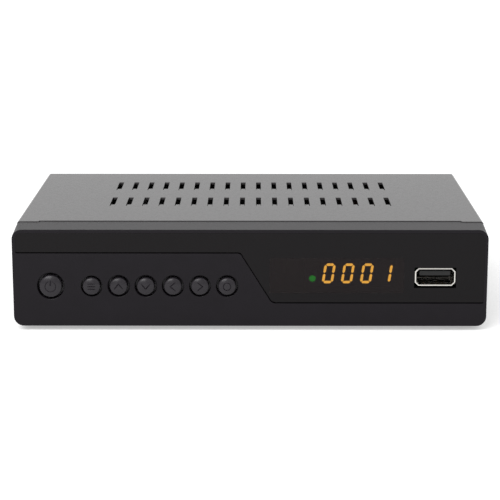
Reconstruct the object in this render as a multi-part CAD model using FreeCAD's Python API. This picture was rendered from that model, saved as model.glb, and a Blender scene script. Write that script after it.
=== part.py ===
import FreeCAD, Part
import math
import os

# Satellite TV receiver: a moulded fascia with push buttons, display plate and USB socket on a folded steel
# case that holds the main board, the tuner and the rear sockets.
# Millimetres. X runs to the right seen from the front, Y from front to back, Z up. The feet stand on z = 0.
# Heights on the fascia are taken down from its top edge, heights inside the case up from the chassis floor
# and depths behind the fascia's face. Sideways places on the fascia are shares of its half-width, so that the
# row of buttons, display and USB socket spreads with it, and the rear sockets share the free width equally.

# ---- Case ------------------------------------------------------------------------------------------------
FASCIA_WIDTH = 168.0
FASCIA_HEIGHT = 35.0
FASCIA_DEPTH = 15.2
FASCIA_WALL = 2.0            # top, bottom and side walls of the moulding
FRONT_WALL = 2.8             # wall behind the face
FACE_CORNER_RADIUS = 3.5     # corners of the face
FACE_EDGE = 0.3              # bevel round the face
BEND_RADIUS = 1.0            # outer radius of the folds in the steel, and of the fascia's rear corners
FLOOR_GAP = 1.8              # table to the underside of the fascia
BODY_DEPTH = 110.0           # fascia's face to the rear edge of the cover
SHEET = 0.8                  # steel of the cover and the chassis
SEAM = 0.4                   # gap between the fascia and the cover
SLIP = 0.1                   # clearance between the cover, the chassis and the fascia's lip
LIP_LENGTH = 2.6             # lip of the fascia that the cover's front edge lies on
TAB_LENGTH = 1.3             # corner tabs of the cover, in notches of the fascia
TAB_WIDTH = 8.3
FOOT_HEIGHT = 2.6
FOOT_RADIUS = 5.0
FOOT_INSET = 15.0            # foot centre to the cover's side
FOOT_FRONT = 30.0
FOOT_REAR = 12.0             # foot centre to the rear edge of the cover

# ---- Vents in the cover ----------------------------------------------------------------------------------
VENT_COLUMNS = 18
VENT_ROWS = 2
VENT_PITCH = 6.13
VENT_WIDTH = 1.9
VENT_LENGTH = 16.4
VENT_ROW_PITCH = 31.6
VENT_REAR_MARGIN = 19.5      # rear end of the last row to the rear edge of the cover
FLAP_FLAT = 4.6              # flap's straight root
FLAP_TURN = 41.7             # degrees that the rest of it curves down
FLAP_STEPS = 2               # flats that the curve is drawn in
FLAP_SIDE_GAP = 0.22
FLAP_END_GAP = 0.5

# ---- Display plate ---------------------------------------------------------------------------------------
PLATE_THICKNESS = 1.5
PLATE_BED = 0.1              # adhesive behind the plate
PLATE_RIM = 1.2              # fascia left round the plate
PLATE_FIT = 0.08             # clearance to the rim
GROOVE = 0.55                # open groove along the plate's lower, stepped edge
GROOVE_CHAMFER = 0.25
STEP_UPPER_DROP = 8.15       # plate's lower edge on the left, below the fascia's top
STEP_LOWER_DROP = 26.3       # and on the right
STEP_UPPER_SHARE = -0.0393   # upper end of the slanted edge
STEP_SLANT = 31.8            # degrees from upright
STEP_UPPER_RADIUS = 1.4
STEP_LOWER_RADIUS = 2.2
PLATE_CORNER_RADIUS = 0.5    # plate's lower corners
WINDOW_LEDGE = 1.0           # ledge behind the slanted edge, beside the opening for the display and the eye
WINDOW_MARGIN = 1.0          # opening beyond the display's holder
WINDOW_TOP_DROP = 10.2
WINDOW_BOTTOM_DROP = 22.9

# ---- Push buttons ----------------------------------------------------------------------------------------
BUTTON_DROP = 20.4           # button centres below the fascia's top
POWER_INSET = 13.4           # power button's centre to the fascia's side
FIRST_BUTTON_SHARE = -0.6679
BUTTON_PITCH_SHARE = 0.1143
SMALL_NAMES = ("menu", "up", "down", "left", "right", "ok")
POWER_CAP_RADIUS = 3.85
POWER_HOLE_RADIUS = 4.6
SMALL_CAP_RADIUS = 3.05
SMALL_HOLE_RADIUS = 3.75
HOLE_CHAMFER = 0.35
CAP_PROUD = 1.3
CAP_FLANGE = 0.8             # thickness of the square flange
CAP_FLANGE_LAP = 0.4         # flange beyond the hole
CAP_FREE_PLAY = 0.3          # flange to the wall, at rest
STEM_WIDTH = 3.0
STEM_PLAY = 0.25             # stem in its guide hole
PRESS_TRAVEL = 0.45          # how far a button goes in
GUIDE_THICKNESS = 0.8
GUIDE_HEIGHT = 15.0
GUIDE_LEFT = 5.0             # strip beyond the power button's centre
GUIDE_RIGHT = 2.0            # strip beyond the last stakes
GUIDE_GAP = 0.45             # pressed flange to the guide strip
STAKE_WIDTH = 1.4
STAKE_HEAD_WIDTH = 2.4
STAKE_HEAD = 0.7
STAKE_OFFSET = 5.8           # stakes above and below the button centres
STAKE_FIT = 0.08

# ---- Front board and what it carries ---------------------------------------------------------------------
BOARD = 1.6                  # thickness of both boards
FRONT_BOARD_DEPTH = 10.8     # its front face, behind the fascia's face
FRONT_BOARD_SIDE = 0.8       # clearances to the fascia's inner walls
FRONT_BOARD_TOP = 1.0
FRONT_BOARD_BOTTOM = 1.2
FRONT_SCREW_INSET = 3.6      # to the fascia's inner side
FRONT_SCREW_TOP_DROP = 7.8
FRONT_SCREW_BOTTOM_DROP = 29.5
FRONT_BOSS_RADIUS = 2.4
SWITCH_SIZE = 6.0
SWITCH_HEIGHT = 3.5
PLUNGER_RADIUS = 1.6
PLUNGER_PROUD = 0.8
PLUNGER_INSIDE = 0.8
PLUNGER_FIT = 0.12
STEM_TOUCH = 0.1             # stem to the plunger's tip, at rest

DISPLAY_SHARE = 0.453        # middle of the four digits
DISPLAY_DROP = 16.55
DIGITS = "0001"
DIGIT_PITCH = 6.77
DIGIT_HEIGHT = 7.15
DIGIT_WIDTH = 3.75
DIGIT_SLANT = 8.0            # degrees
STROKE = 0.8
STROKE_GAP = 0.14            # between the ends of two segments
SEGMENT_THICKNESS = 0.15
MODULE_WIDTH = 27.4
MODULE_HEIGHT = 9.4
MODULE_DEPTH = 3.6           # its face, behind the fascia's face
MODULE_FIT = 0.15
HOLDER_LEFT = 2.7            # beyond the middle of the LEDs
HOLDER_RIGHT = 1.65          # beyond the display module
HOLDER_TOP_DROP = 11.0
HOLDER_BOTTOM_DROP = 22.1
HOLDER_GAP = 0.3             # holder's front to the back of the fascia's wall
LED_OFFSET = 15.85           # LEDs to the middle of the digits
LED_RADIUS = 1.1
LED_FLANGE_WIDTH = 2.8
LED_FLANGE = 0.6
LED_FIT = 0.15
LED_DEPTH = 3.9
LED_LENGTH = 4.8
POWER_LED_DROP = 18.5
STANDBY_LED_DROP = 14.3
LEG_WIDTH = 0.45
LED_LEG_PITCH = 1.27
EYE_SHARE = 0.1226           # infrared receiver
EYE_DROP = 14.3
EYE_WIDTH = 5.0
EYE_HEIGHT = 6.0
EYE_BODY_FRONT = 5.4
EYE_BODY_LENGTH = 3.0
EYE_LENS_RADIUS = 1.8
EYE_LENS_PROUD = 1.6
EYE_LEG_PITCH = 1.6

# ---- USB socket ------------------------------------------------------------------------------------------
USB_SHARE = 0.7798
USB_DROP = 17.05
USB_FACE = 0.3               # behind the fascia's face
USB_WIDTH = 12.5             # opening
USB_HEIGHT = 5.12
USB_SHELL = 0.4
USB_FLARE_WIDTH = 14.3
USB_FLARE_HEIGHT = 6.4
USB_FLARE_LENGTH = 1.0
USB_CORNER = 0.6
USB_BASE_CORNER = 0.3
USB_CUTOUT_WIDTH = 14.8
USB_CUTOUT_HEIGHT = 7.4
USB_CUTOUT_LOW = 0.25        # cut-out's middle below the socket's
USB_TONGUE_WIDTH = 11.1
USB_TONGUE_THICKNESS = 1.84
USB_TONGUE_TOP = 0.45        # tongue to the top of the opening
USB_TONGUE_SETBACK = 0.9
USB_BASE_LENGTH = 1.8        # insulator that carries the tongue
USB_CONTACTS = 4
USB_CONTACT_PITCH = 2.3
USB_CONTACT_WIDTH = 1.0
USB_CONTACT_THICKNESS = 0.2
USB_CONTACT_LENGTH = 6.2

# ---- Chassis ---------------------------------------------------------------------------------------------
FLANGE_GAP = 0.8             # fascia's rear rim to the chassis's front flange
FRONT_FLANGE_TOP = 3.4       # flange's top edge below the cover's outer face
SIDE_FLANGE_HEIGHT = 12.0
REAR_INSET = 0.4             # rear panel in from the cover's rear edge
TOP_FLANGE = 8.0
HOOK_WIDTH = 8.0
HOOK_INSET = 26.0            # hook's middle to the fascia's side
HOOK_THICKNESS = 1.2
HOOK_CATCH = 0.8
HOOK_ROOT = 2.2              # length of the arm along the fascia's wall
HOOK_SLOT_FIT = 0.3
FLANGE_WINDOW_INSET = 38.0   # opening in the front flange, in from the fascia's sides
FLANGE_WINDOW_SILL = 5.0
FLANGE_WINDOW_HEAD = 5.0
FLOOR_VENTS = 8
FLOOR_VENT_PITCH = 9.0
FLOOR_VENT_WIDTH = 2.2
FLOOR_VENT_LENGTH = 24.0
FLOOR_VENT_FRONT = 44.0

# ---- Screws ----------------------------------------------------------------------------------------------
SCREW_RADIUS = 1.45          # M3
SCREW_HEAD_RADIUS = 2.75
SCREW_HEAD = 1.6
SCREW_HOLE_RADIUS = 1.65
SCREW_TAP_RADIUS = 1.5
SIDE_SCREW_HEIGHT = 7.0      # above the chassis's underside
SIDE_SCREW_FRONT = 32.0
SIDE_SCREW_REAR = 16.0       # in front of the cover's rear edge
SIDE_SCREW_LENGTH = 5.0
BOARD_SCREW_LENGTH = 5.5

# ---- Main board ------------------------------------------------------------------------------------------
STANDOFF_HEIGHT = 5.0
STANDOFF_FLATS = 5.5
MAIN_BOARD_FRONT = 22.0
MAIN_BOARD_REAR_GAP = 0.8    # to the rear panel
MAIN_BOARD_SIDE = 4.2        # to the chassis's side flanges
MAIN_SCREW_INSET = 6.1       # to the main board's side
MAIN_SCREW_FRONT = 28.0
MAIN_SCREW_REAR = 42.0       # in front of the rear panel
HEADER_X = -18.0
HEADER_PINS = 8
HEADER_SPACING = 2.0
HEADER_PIN = 0.5
HEADER_BODY = 2.4
HEADER_RISE = 1.2            # pins above the main board

# ---- Rear sockets ----------------------------------------------------------------------------------------
PANEL_CLEARANCE = 0.25
SLEEVE_SHOULDER = 0.3        # faceted root of a round sleeve, beyond what it passes through
TUNER_WIDTH = 32.0
TUNER_LENGTH = 34.0
TUNER_HEIGHT = 13.0
TUNER_WALL = 0.5
TUNER_PANEL_GAP = 1.6        # tuner's end wall to the rear panel
LID_SKIRT = 2.4
F_SPACING = 16.0
F_HEIGHT = 7.6               # axis above the board
F_RADIUS = 4.76              # 3/8 inch thread
F_BORE_RADIUS = 3.5
F_REACH = 10.0               # beyond the rear panel
F_INSULATOR_SETBACK = 0.6
F_CONTACT_RADIUS = 0.6
F_CONTACT_DEPTH = 8.0
F_NUT_FLATS = 11.1
F_NUT_THICKNESS = 2.2
F_THREAD_FIT = 0.04

SCART_WIDTH = 50.0
SCART_HEIGHT = 17.0
SCART_BASE = 0.6             # socket's underside above the board
SCART_SLANT = 5.0            # cut corner that keys the plug
SCART_WALL = 1.2
SCART_GROOVE = 2.1           # takes the plug's shield
SCART_PROUD = 1.6            # beyond the rear panel
SCART_LENGTH = 14.0
SCART_GROOVE_DEPTH = 9.0
SCART_CONTACTS = 10          # in each of two rows
SCART_PITCH = 3.81
SCART_SLOT_WIDTH = 1.5
SCART_SLOT_HEIGHT = 3.4
SCART_ROW_OFFSET = 2.5
SCART_SLOT_DEPTH = 6.0
SCART_CONTACT_WALL = 0.35    # slot left on each side of a contact

HDMI_WIDTH = 15.0
HDMI_HEIGHT = 5.9
HDMI_SHELL = 0.45
HDMI_CHAMFER = 1.9
HDMI_PROUD = 0.6
HDMI_LENGTH = 12.0
HDMI_BASE_LENGTH = 3.0
HDMI_TONGUE_WIDTH = 10.6
HDMI_TONGUE_THICKNESS = 1.1

COAX_HEIGHT = 8.0            # axis above the board
COAX_RADIUS = 4.15
COAX_WALL = 0.55
COAX_REACH = 9.0
COAX_ROOT = 1.0              # sleeve inside the rear panel
COAX_PIN_BORE = 1.6
COAX_SETBACK = 0.8
COAX_BODY_WIDTH = 10.0
COAX_BODY_LENGTH = 11.0
COAX_BODY_HEIGHT = 12.6

IR_JACK_WIDTH = 6.6
IR_JACK_HEIGHT = 6.4
IR_JACK_LENGTH = 12.0
IR_NOSE_RADIUS = 2.9
IR_NOSE_REACH = 2.0
IR_BORE_RADIUS = 1.8
IR_BORE_DEPTH = 11.0

DC_WIDTH = 9.0
DC_HEIGHT = 10.8
DC_LENGTH = 14.0
DC_PROUD = 0.4
DC_AXIS = 6.4                # above the board
DC_BORE_RADIUS = 3.15
DC_BORE_DEPTH = 10.0
DC_PIN_RADIUS = 1.05
DC_PIN_SETBACK = 0.8

# ---- Chips and parts on the main board -------------------------------------------------------------------
PROCESSOR_X = 8.0
PROCESSOR_DEPTH = 56.0
PROCESSOR_SIZE = 19.0
PROCESSOR_HEIGHT = 1.7
HEATSINK_SIZE = 24.0
HEATSINK_BASE = 2.0
HEATSINK_HEIGHT = 8.0
HEATSINK_FINS = 7
HEATSINK_FIN = 1.0
MEMORY_SIZE = 10.5
MEMORY_LENGTH = 13.0
MEMORY_HEIGHT = 1.1
MEMORY_PLACES = ((-18.0, 50.0), (-18.0, 68.0))
CAPACITOR_INSETS = ((12.0, 57.0), (22.0, 51.0), (12.0, 25.0), (28.0, 65.0))   # to board's side, rear panel
CAPACITOR_RADIUS = 3.9
CAPACITOR_HEIGHT = 11.0
INDUCTOR_INSETS = ((34.0, 47.0), (24.0, 33.0))
INDUCTOR_SIZE = 7.0
INDUCTOR_HEIGHT = 4.0
CRYSTAL_X = 30.0
CRYSTAL_DEPTH = 52.0
CRYSTAL_LENGTH = 11.0
CRYSTAL_WIDTH = 4.6
CRYSTAL_HEIGHT = 3.6

# ---- Worked out from the sizes above ---------------------------------------------------------------------
HALF_WIDTH = FASCIA_WIDTH / 2
FACE_BOTTOM = FLOOR_GAP
FACE_TOP = FACE_BOTTOM + FASCIA_HEIGHT
REAR_FACE = BODY_DEPTH - REAR_INSET            # depth of the rear panel's outer face
FACE_Y = (CAP_PROUD - REAR_FACE - F_REACH) / 2   # puts the origin under the middle of the whole part
INNER_HALF = HALF_WIDTH - FASCIA_WALL          # fascia's hollow
INNER_BOTTOM = FACE_BOTTOM + FASCIA_WALL
INNER_TOP = FACE_TOP - FASCIA_WALL
COVER_FRONT = FASCIA_DEPTH + SEAM
COVER_HALF = HALF_WIDTH - SHEET                # cover's inner faces
COVER_UNDER = FACE_TOP - SHEET
CHASSIS_HALF = COVER_HALF - SLIP
CHASSIS_FRONT = FASCIA_DEPTH + FLANGE_GAP
CHASSIS_FLOOR = FOOT_HEIGHT + SHEET            # upper face of the chassis's floor
SIDE_FLANGE_FRONT = FASCIA_DEPTH + LIP_LENGTH + SEAM
BUTTON_Z = FACE_TOP - BUTTON_DROP
POWER_X = POWER_INSET - HALF_WIDTH
BUTTON_PITCH = BUTTON_PITCH_SHARE * HALF_WIDTH
SMALL_XS = tuple(FIRST_BUTTON_SHARE * HALF_WIDTH + k * BUTTON_PITCH for k in range(len(SMALL_NAMES)))
STEP_UPPER_X = STEP_UPPER_SHARE * HALF_WIDTH
DISPLAY_X = DISPLAY_SHARE * HALF_WIDTH
LED_X = DISPLAY_X - LED_OFFSET
EYE_X = EYE_SHARE * HALF_WIDTH
USB_X = USB_SHARE * HALF_WIDTH
FLANGE_DEPTH = FRONT_WALL + CAP_FREE_PLAY      # front of a cap's flange, at rest
GUIDE_DEPTH = FLANGE_DEPTH + CAP_FLANGE + PRESS_TRAVEL + GUIDE_GAP
SWITCH_DEPTH = FRONT_BOARD_DEPTH - SWITCH_HEIGHT
PLUNGER_TIP = SWITCH_DEPTH - PLUNGER_PROUD
FRONT_BOARD_BACK = FRONT_BOARD_DEPTH + BOARD
BOARD_UNDER = CHASSIS_FLOOR + STANDOFF_HEIGHT
BOARD_TOP = BOARD_UNDER + BOARD
PANEL_INSIDE = REAR_FACE - SHEET
MAIN_BOARD_HALF = CHASSIS_HALF - SHEET - MAIN_BOARD_SIDE

LID_WIDTH = TUNER_WIDTH + 2 * (SLIP + TUNER_WALL)
SOCKET_WIDTHS = (LID_WIDTH, SCART_WIDTH, HDMI_WIDTH, COAX_BODY_WIDTH, IR_JACK_WIDTH, DC_WIDTH)
SOCKET_GAP = (2 * MAIN_BOARD_HALF - sum(SOCKET_WIDTHS)) / (len(SOCKET_WIDTHS) + 1)
SOCKET_XS = tuple(SOCKET_GAP * (k + 1) + sum(SOCKET_WIDTHS[:k]) + SOCKET_WIDTHS[k] / 2 - MAIN_BOARD_HALF
                  for k in range(len(SOCKET_WIDTHS)))
TUNER_X, SCART_X, HDMI_X, COAX_X, IR_JACK_X, DC_X = SOCKET_XS
CAPACITOR_PLACES = tuple((MAIN_BOARD_HALF - u, PANEL_INSIDE - v) for u, v in CAPACITOR_INSETS)
INDUCTOR_PLACES = tuple((MAIN_BOARD_HALF - u, PANEL_INSIDE - v) for u, v in INDUCTOR_INSETS)

TOUCHING = 1e-6              # corners nearer than this are one corner
CORNER_STEPS = 4             # flats in a lofted corner
SMALL_SIDES = 8              # flats of screws, plungers and other small round things
ROUND_SIDES = 16             # flats of larger ones

RIGHT = FreeCAD.Vector(1, 0, 0)
REARWARD = FreeCAD.Vector(0, 1, 0)
UP = FreeCAD.Vector(0, 0, 1)


# ---- Drawing helpers -------------------------------------------------------------------------------------
def at(x, depth, z):
    """Point x to the right, depth behind the fascia's face and z above the table."""
    return FreeCAD.Vector(x, FACE_Y + depth, z)


def rounded_wire(corners, place):
    """Closed wire through (u, v, radius) corners, rounded by tangent arcs; place puts (u, v) in space."""
    points = [FreeCAD.Vector(u, v, 0) for u, v, _ in corners]
    arcs = []
    for k, (u, v, radius) in enumerate(corners):
        before = (points[k - 1] - points[k]).normalize()
        after = (points[(k + 1) % len(points)] - points[k]).normalize()
        half = before.getAngle(after) / 2
        reach = radius / math.tan(half)
        inward = before + after
        middle = points[k]
        if radius > 0:
            middle = points[k] + inward.normalize() * (radius / math.sin(half) - radius)
        arcs.append((points[k] + before * reach, middle, points[k] + after * reach, radius))
    edges = []
    for k, (start, middle, end, radius) in enumerate(arcs):
        if radius > 0:
            spots = [place(p.x, p.y) for p in (start, middle, end)]
            edges.append(Part.Arc(*spots).toShape())
        following = arcs[(k + 1) % len(arcs)][0]
        if (following - end).Length > TOUCHING:
            edges.append(Part.makeLine(place(end.x, end.y), place(following.x, following.y)))
    return Part.Wire(edges)


def upright(solid):
    """The solid with its faces pointing outwards."""
    if solid.Volume < 0:
        solid.reverse()
    return solid


def front_plane(depth):
    """Places (x, z) on the plane at that depth."""
    return lambda x, z: at(x, depth, z)


def front_profile(corners, depth0, depth1):
    """Bar along the depth, its outline given in x and z."""
    outline = Part.Face(rounded_wire(corners, front_plane(depth0)))
    return upright(outline.extrude(REARWARD * (depth1 - depth0)))


def side_profile(corners, x0, x1):
    """Bar from side to side, its outline given in depth and z."""
    outline = Part.Face(rounded_wire(corners, lambda depth, z: at(x0, depth, z)))
    return upright(outline.extrude(RIGHT * (x1 - x0)))


def top_profile(corners, z0, z1):
    """Upright bar, its outline given in x and depth."""
    outline = Part.Face(rounded_wire(corners, lambda x, depth: at(x, depth, z0)))
    return upright(outline.extrude(UP * (z1 - z0)))


def stepped_outline(corners, steps):
    """Points of an outline of (x, z, radius) corners, each rounded in as many flats."""
    points = []
    for k, (x, z, radius) in enumerate(corners):
        here = FreeCAD.Vector(x, z, 0)
        before = (FreeCAD.Vector(*corners[k - 1][:2], 0) - here).normalize()
        after = (FreeCAD.Vector(*corners[(k + 1) % len(corners)][:2], 0) - here).normalize()
        half = before.getAngle(after) / 2
        inward = before + after
        centre = here + inward.normalize() * (radius / math.sin(half))
        spoke = here + before * (radius / math.tan(half)) - centre
        turn = math.degrees(math.pi - 2 * half) / steps
        if before.cross(after).z > 0:
            turn = -turn
        for step in range(steps + 1):
            point = centre + FreeCAD.Rotation(UP, turn * step).multVec(spoke)
            points.append((point.x, point.y))
    return points


def front_loft(sections, steps=CORNER_STEPS):
    """Bar along the depth through (corners, depth) sections of as many corners, flat between them."""
    rings = [[at(x, depth, z) for x, z in stepped_outline(corners, steps)] for corners, depth in sections]
    faces = [Part.Face(Part.makePolygon(ring + ring[:1])) for ring in (rings[0], rings[-1])]
    for ring, following in zip(rings, rings[1:]):
        for k in range(len(ring)):
            quad = [ring[k - 1], ring[k], following[k], following[k - 1], ring[k - 1]]
            faces.append(Part.Face(Part.makePolygon(quad)))
    return upright(Part.makeSolid(Part.makeShell(faces)))


def frame(x0, x1, y0, y1, radius=0.0):
    """Corners of a rectangle with equal corner radii."""
    return [(x0, y0, radius), (x1, y0, radius), (x1, y1, radius), (x0, y1, radius)]


def around(x, width, y, height, radius=0.0):
    """Corners of a rectangle about its middle."""
    return frame(x - width / 2, x + width / 2, y - height / 2, y + height / 2, radius)


def block(x0, x1, depth0, depth1, z0, z1):
    """Plain box between two faces in each direction."""
    return Part.makeBox(x1 - x0, depth1 - depth0, z1 - z0, at(x0, depth0, z0))


def square_bar(x, z, width, depth0, depth1):
    """Square bar along the depth."""
    return block(x - width / 2, x + width / 2, depth0, depth1, z - width / 2, z + width / 2)


def rod(x, z, radius, depth0, depth1):
    """Round bar along the depth."""
    return Part.makeCylinder(radius, depth1 - depth0, at(x, depth0, z), REARWARD)


def prism(origin, axis, radius, sides, length):
    """Bar with regular flats that touch a circle of the radius."""
    across = RIGHT if abs(axis.x) < 0.5 else REARWARD
    other = axis.cross(across)
    reach = radius / math.cos(math.pi / sides)
    turns = [2 * math.pi * k / sides for k in range(sides)]
    ring = [origin + across * (reach * math.cos(t)) + other * (reach * math.sin(t)) for t in turns]
    return upright(Part.Face(Part.makePolygon(ring + ring[:1])).extrude(axis * length))


def small_bar(x, z, radius, depth0, depth1):
    """Small bar along the depth, round but for its flats."""
    return prism(at(x, depth0, z), REARWARD, radius, SMALL_SIDES, depth1 - depth0)


def ring_bar(x, z, radius, depth0, depth1):
    """Larger bar along the depth, round but for its flats."""
    return prism(at(x, depth0, z), REARWARD, radius, ROUND_SIDES, depth1 - depth0)


def joined(*solids):
    """One solid out of several that touch or overlap."""
    return solids[0].multiFuse(list(solids[1:])).removeSplitter()


def group(solids):
    """Separate solids kept together in one sub-part."""
    return Part.makeCompound(list(solids))


def pan_screw(seat, inward, length, head_sides):
    """Screw whose head sits on the seat and whose shank points inwards."""
    head = prism(seat - inward * SCREW_HEAD, inward, SCREW_HEAD_RADIUS, head_sides, SCREW_HEAD)
    return joined(head, prism(seat, inward, SCREW_RADIUS, SMALL_SIDES, length))


# ---- Fascia and display plate ----------------------------------------------------------------------------
def slanted_edge(drop):
    """Sideways place of the plate's slanted edge at a drop below the fascia's top."""
    return STEP_UPPER_X + (drop - STEP_UPPER_DROP) * math.tan(math.radians(STEP_SLANT))


def plate_corners(rim_gap, groove):
    """Plate's outline, grown by rim_gap on its outer sides and by groove along its lower, stepped edge."""
    slant = math.radians(STEP_SLANT)
    shift = groove * math.tan(slant) - groove / math.cos(slant)
    side = HALF_WIDTH - PLATE_RIM + rim_gap
    top = FACE_TOP - PLATE_RIM + rim_gap
    upper = FACE_TOP - STEP_UPPER_DROP
    lower = FACE_TOP - STEP_LOWER_DROP
    lower_x = slanted_edge(STEP_LOWER_DROP)
    corner = FACE_CORNER_RADIUS - PLATE_RIM + rim_gap
    return [
        (-side, top, corner),
        (side, top, corner),
        (side, lower - groove, PLATE_CORNER_RADIUS),
        (lower_x + shift, lower - groove, STEP_LOWER_RADIUS),
        (STEP_UPPER_X + shift, upper - groove, STEP_UPPER_RADIUS),
        (-side, upper - groove, PLATE_CORNER_RADIUS),
    ]


def holder_sides():
    """Left and right side of the light shield round the LEDs and the display."""
    return LED_X - HOLDER_LEFT, DISPLAY_X + MODULE_WIDTH / 2 + HOLDER_RIGHT


def display_window():
    """Opening behind the plate for the display, the LEDs and the infrared eye."""
    left = slanted_edge(WINDOW_BOTTOM_DROP) + WINDOW_LEDGE
    right = holder_sides()[1] + WINDOW_MARGIN
    window = frame(left, right, FACE_TOP - WINDOW_BOTTOM_DROP, FACE_TOP - WINDOW_TOP_DROP)
    return front_profile(window, 0, FRONT_WALL)


def usb_cutout(depth0, depth1):
    """Cut-out that the USB socket's mouth stands in."""
    middle = FACE_TOP - USB_DROP - USB_CUTOUT_LOW
    return front_profile(around(USB_X, USB_CUTOUT_WIDTH, middle, USB_CUTOUT_HEIGHT), depth0, depth1)


def button_holes():
    """Pairs of centre x and hole radius for all seven buttons."""
    return [(POWER_X, POWER_HOLE_RADIUS)] + [(x, SMALL_HOLE_RADIUS) for x in SMALL_XS]


def stake_places():
    """Centres of the heat stakes that hold the guide strip, beside the first and the last small button."""
    first = (POWER_X + SMALL_XS[0]) / 2
    last = SMALL_XS[-1] + BUTTON_PITCH / 2
    return [(x, BUTTON_Z + side * STAKE_OFFSET) for x in (first, last) for side in (-1, 1)]


def front_screw_places():
    """Centres of the front board's screws."""
    drops = (FRONT_SCREW_TOP_DROP, FRONT_SCREW_BOTTOM_DROP)
    x = INNER_HALF - FRONT_SCREW_INSET
    return [(side * x, FACE_TOP - drop) for side in (-1, 1) for drop in drops]


def fascia_hook(x, at_top):
    """Snap hook that reaches through or over the chassis's front flange."""
    sign = -1 if at_top else 1
    wall = INNER_TOP if at_top else INNER_BOTTOM
    catch_depth = CHASSIS_FRONT + SHEET + SLIP
    tip = catch_depth + 2 * HOOK_CATCH
    arm_end = wall + sign * HOOK_THICKNESS
    corners = [
        (FASCIA_DEPTH - HOOK_ROOT, wall - sign * SLIP, 0), (tip, wall - sign * SLIP, 0), (tip, arm_end, 0),
        (catch_depth, arm_end + sign * HOOK_CATCH, 0), (catch_depth, arm_end, 0),
        (FASCIA_DEPTH - HOOK_ROOT, arm_end, 0),
    ]
    return side_profile(corners, x - HOOK_WIDTH / 2, x + HOOK_WIDTH / 2)


def fascia():
    """Moulded front: rounded face that lofts back to a square rim, with wells, bosses, lip and hooks."""
    def outline(radius, inset):
        return frame(inset - HALF_WIDTH, HALF_WIDTH - inset, FACE_BOTTOM + inset, FACE_TOP - inset, radius)

    body = front_loft([
        (outline(FACE_CORNER_RADIUS - FACE_EDGE, FACE_EDGE), 0),
        (outline(FACE_CORNER_RADIUS, 0), FACE_EDGE),
        (outline(BEND_RADIUS, 0), FASCIA_DEPTH),
    ])
    hollow = frame(-INNER_HALF, INNER_HALF, INNER_BOTTOM, INNER_TOP)
    lip_half = COVER_HALF - SLIP
    lip_outline = frame(-lip_half, lip_half, FACE_BOTTOM + SHEET, COVER_UNDER - SLIP)
    lip_end = FASCIA_DEPTH + LIP_LENGTH
    lip = front_profile(lip_outline, FASCIA_DEPTH - FASCIA_WALL, lip_end)
    below = block(-HALF_WIDTH, HALF_WIDTH, FASCIA_DEPTH, lip_end, 0, INNER_BOTTOM + HOOK_THICKNESS)
    body = joined(body, lip.cut(below)).cut(front_profile(hollow, FRONT_WALL, lip_end))
    for side in (-1, 1):
        edge = side * (HALF_WIDTH + SHEET)
        inner = side * (HALF_WIDTH - TAB_WIDTH)
        notch = block(min(edge, inner), max(edge, inner), FASCIA_DEPTH - TAB_LENGTH, FASCIA_DEPTH,
                      COVER_UNDER - SLIP, FACE_TOP + SHEET)
        body = body.cut(notch)

    hook_x = HALF_WIDTH - HOOK_INSET
    additions = [fascia_hook(side * hook_x, at_top) for side in (-1, 1) for at_top in (True, False)]
    for x, z in front_screw_places():
        additions.append(small_bar(x, z, FRONT_BOSS_RADIUS, FRONT_WALL, FRONT_BOARD_DEPTH))
    for x, z in stake_places():
        head = GUIDE_DEPTH + GUIDE_THICKNESS
        additions.append(square_bar(x, z, STAKE_HEAD_WIDTH, FRONT_WALL, GUIDE_DEPTH))
        additions.append(square_bar(x, z, STAKE_WIDTH, GUIDE_DEPTH, head))
        additions.append(square_bar(x, z, STAKE_HEAD_WIDTH, head, head + STAKE_HEAD))
    body = joined(body, *additions)

    cuts = [front_loft([
        (plate_corners(0, GROOVE + GROOVE_CHAMFER), 0),
        (plate_corners(0, GROOVE), GROOVE_CHAMFER),
        (plate_corners(0, GROOVE), PLATE_THICKNESS + PLATE_BED),
    ])]
    cuts.append(display_window())
    cuts.append(usb_cutout(0, FRONT_WALL))
    for x, radius in button_holes():
        cuts.append(rod(x, BUTTON_Z, radius, 0, FRONT_WALL))
        cuts.append(Part.makeCone(radius + HOLE_CHAMFER, radius, HOLE_CHAMFER, at(x, 0, BUTTON_Z), REARWARD))
    for x, z in front_screw_places():
        start = FRONT_BOARD_DEPTH - BOARD_SCREW_LENGTH
        cuts.append(small_bar(x, z, SCREW_TAP_RADIUS, start, FRONT_BOARD_DEPTH))
    for cut in cuts:
        body = body.cut(cut)
    return body


def display_plate():
    """Smoked acrylic plate with the stepped outline, bedded in the fascia."""
    corners = plate_corners(-PLATE_FIT, 0)
    plate = front_loft([(corners, 0), (corners, PLATE_THICKNESS)])
    return plate.cut(usb_cutout(0, PLATE_THICKNESS))


# ---- Push buttons ----------------------------------------------------------------------------------------
def push_button(x, cap_radius, hole_radius):
    """Round cap with a square flange behind the fascia's wall and a square stem that reaches the switch."""
    cap = rod(x, BUTTON_Z, cap_radius, -CAP_PROUD, FLANGE_DEPTH)
    flange_back = FLANGE_DEPTH + CAP_FLANGE
    flange = square_bar(x, BUTTON_Z, 2 * (hole_radius + CAP_FLANGE_LAP), FLANGE_DEPTH, flange_back)
    stem = square_bar(x, BUTTON_Z, STEM_WIDTH, flange_back, PLUNGER_TIP - STEM_TOUCH)
    return joined(cap, flange, stem)


def switch_plunger(x):
    """Plunger of the tactile switch behind a button."""
    return small_bar(x, BUTTON_Z, PLUNGER_RADIUS, PLUNGER_TIP, SWITCH_DEPTH + PLUNGER_INSIDE)


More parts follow.
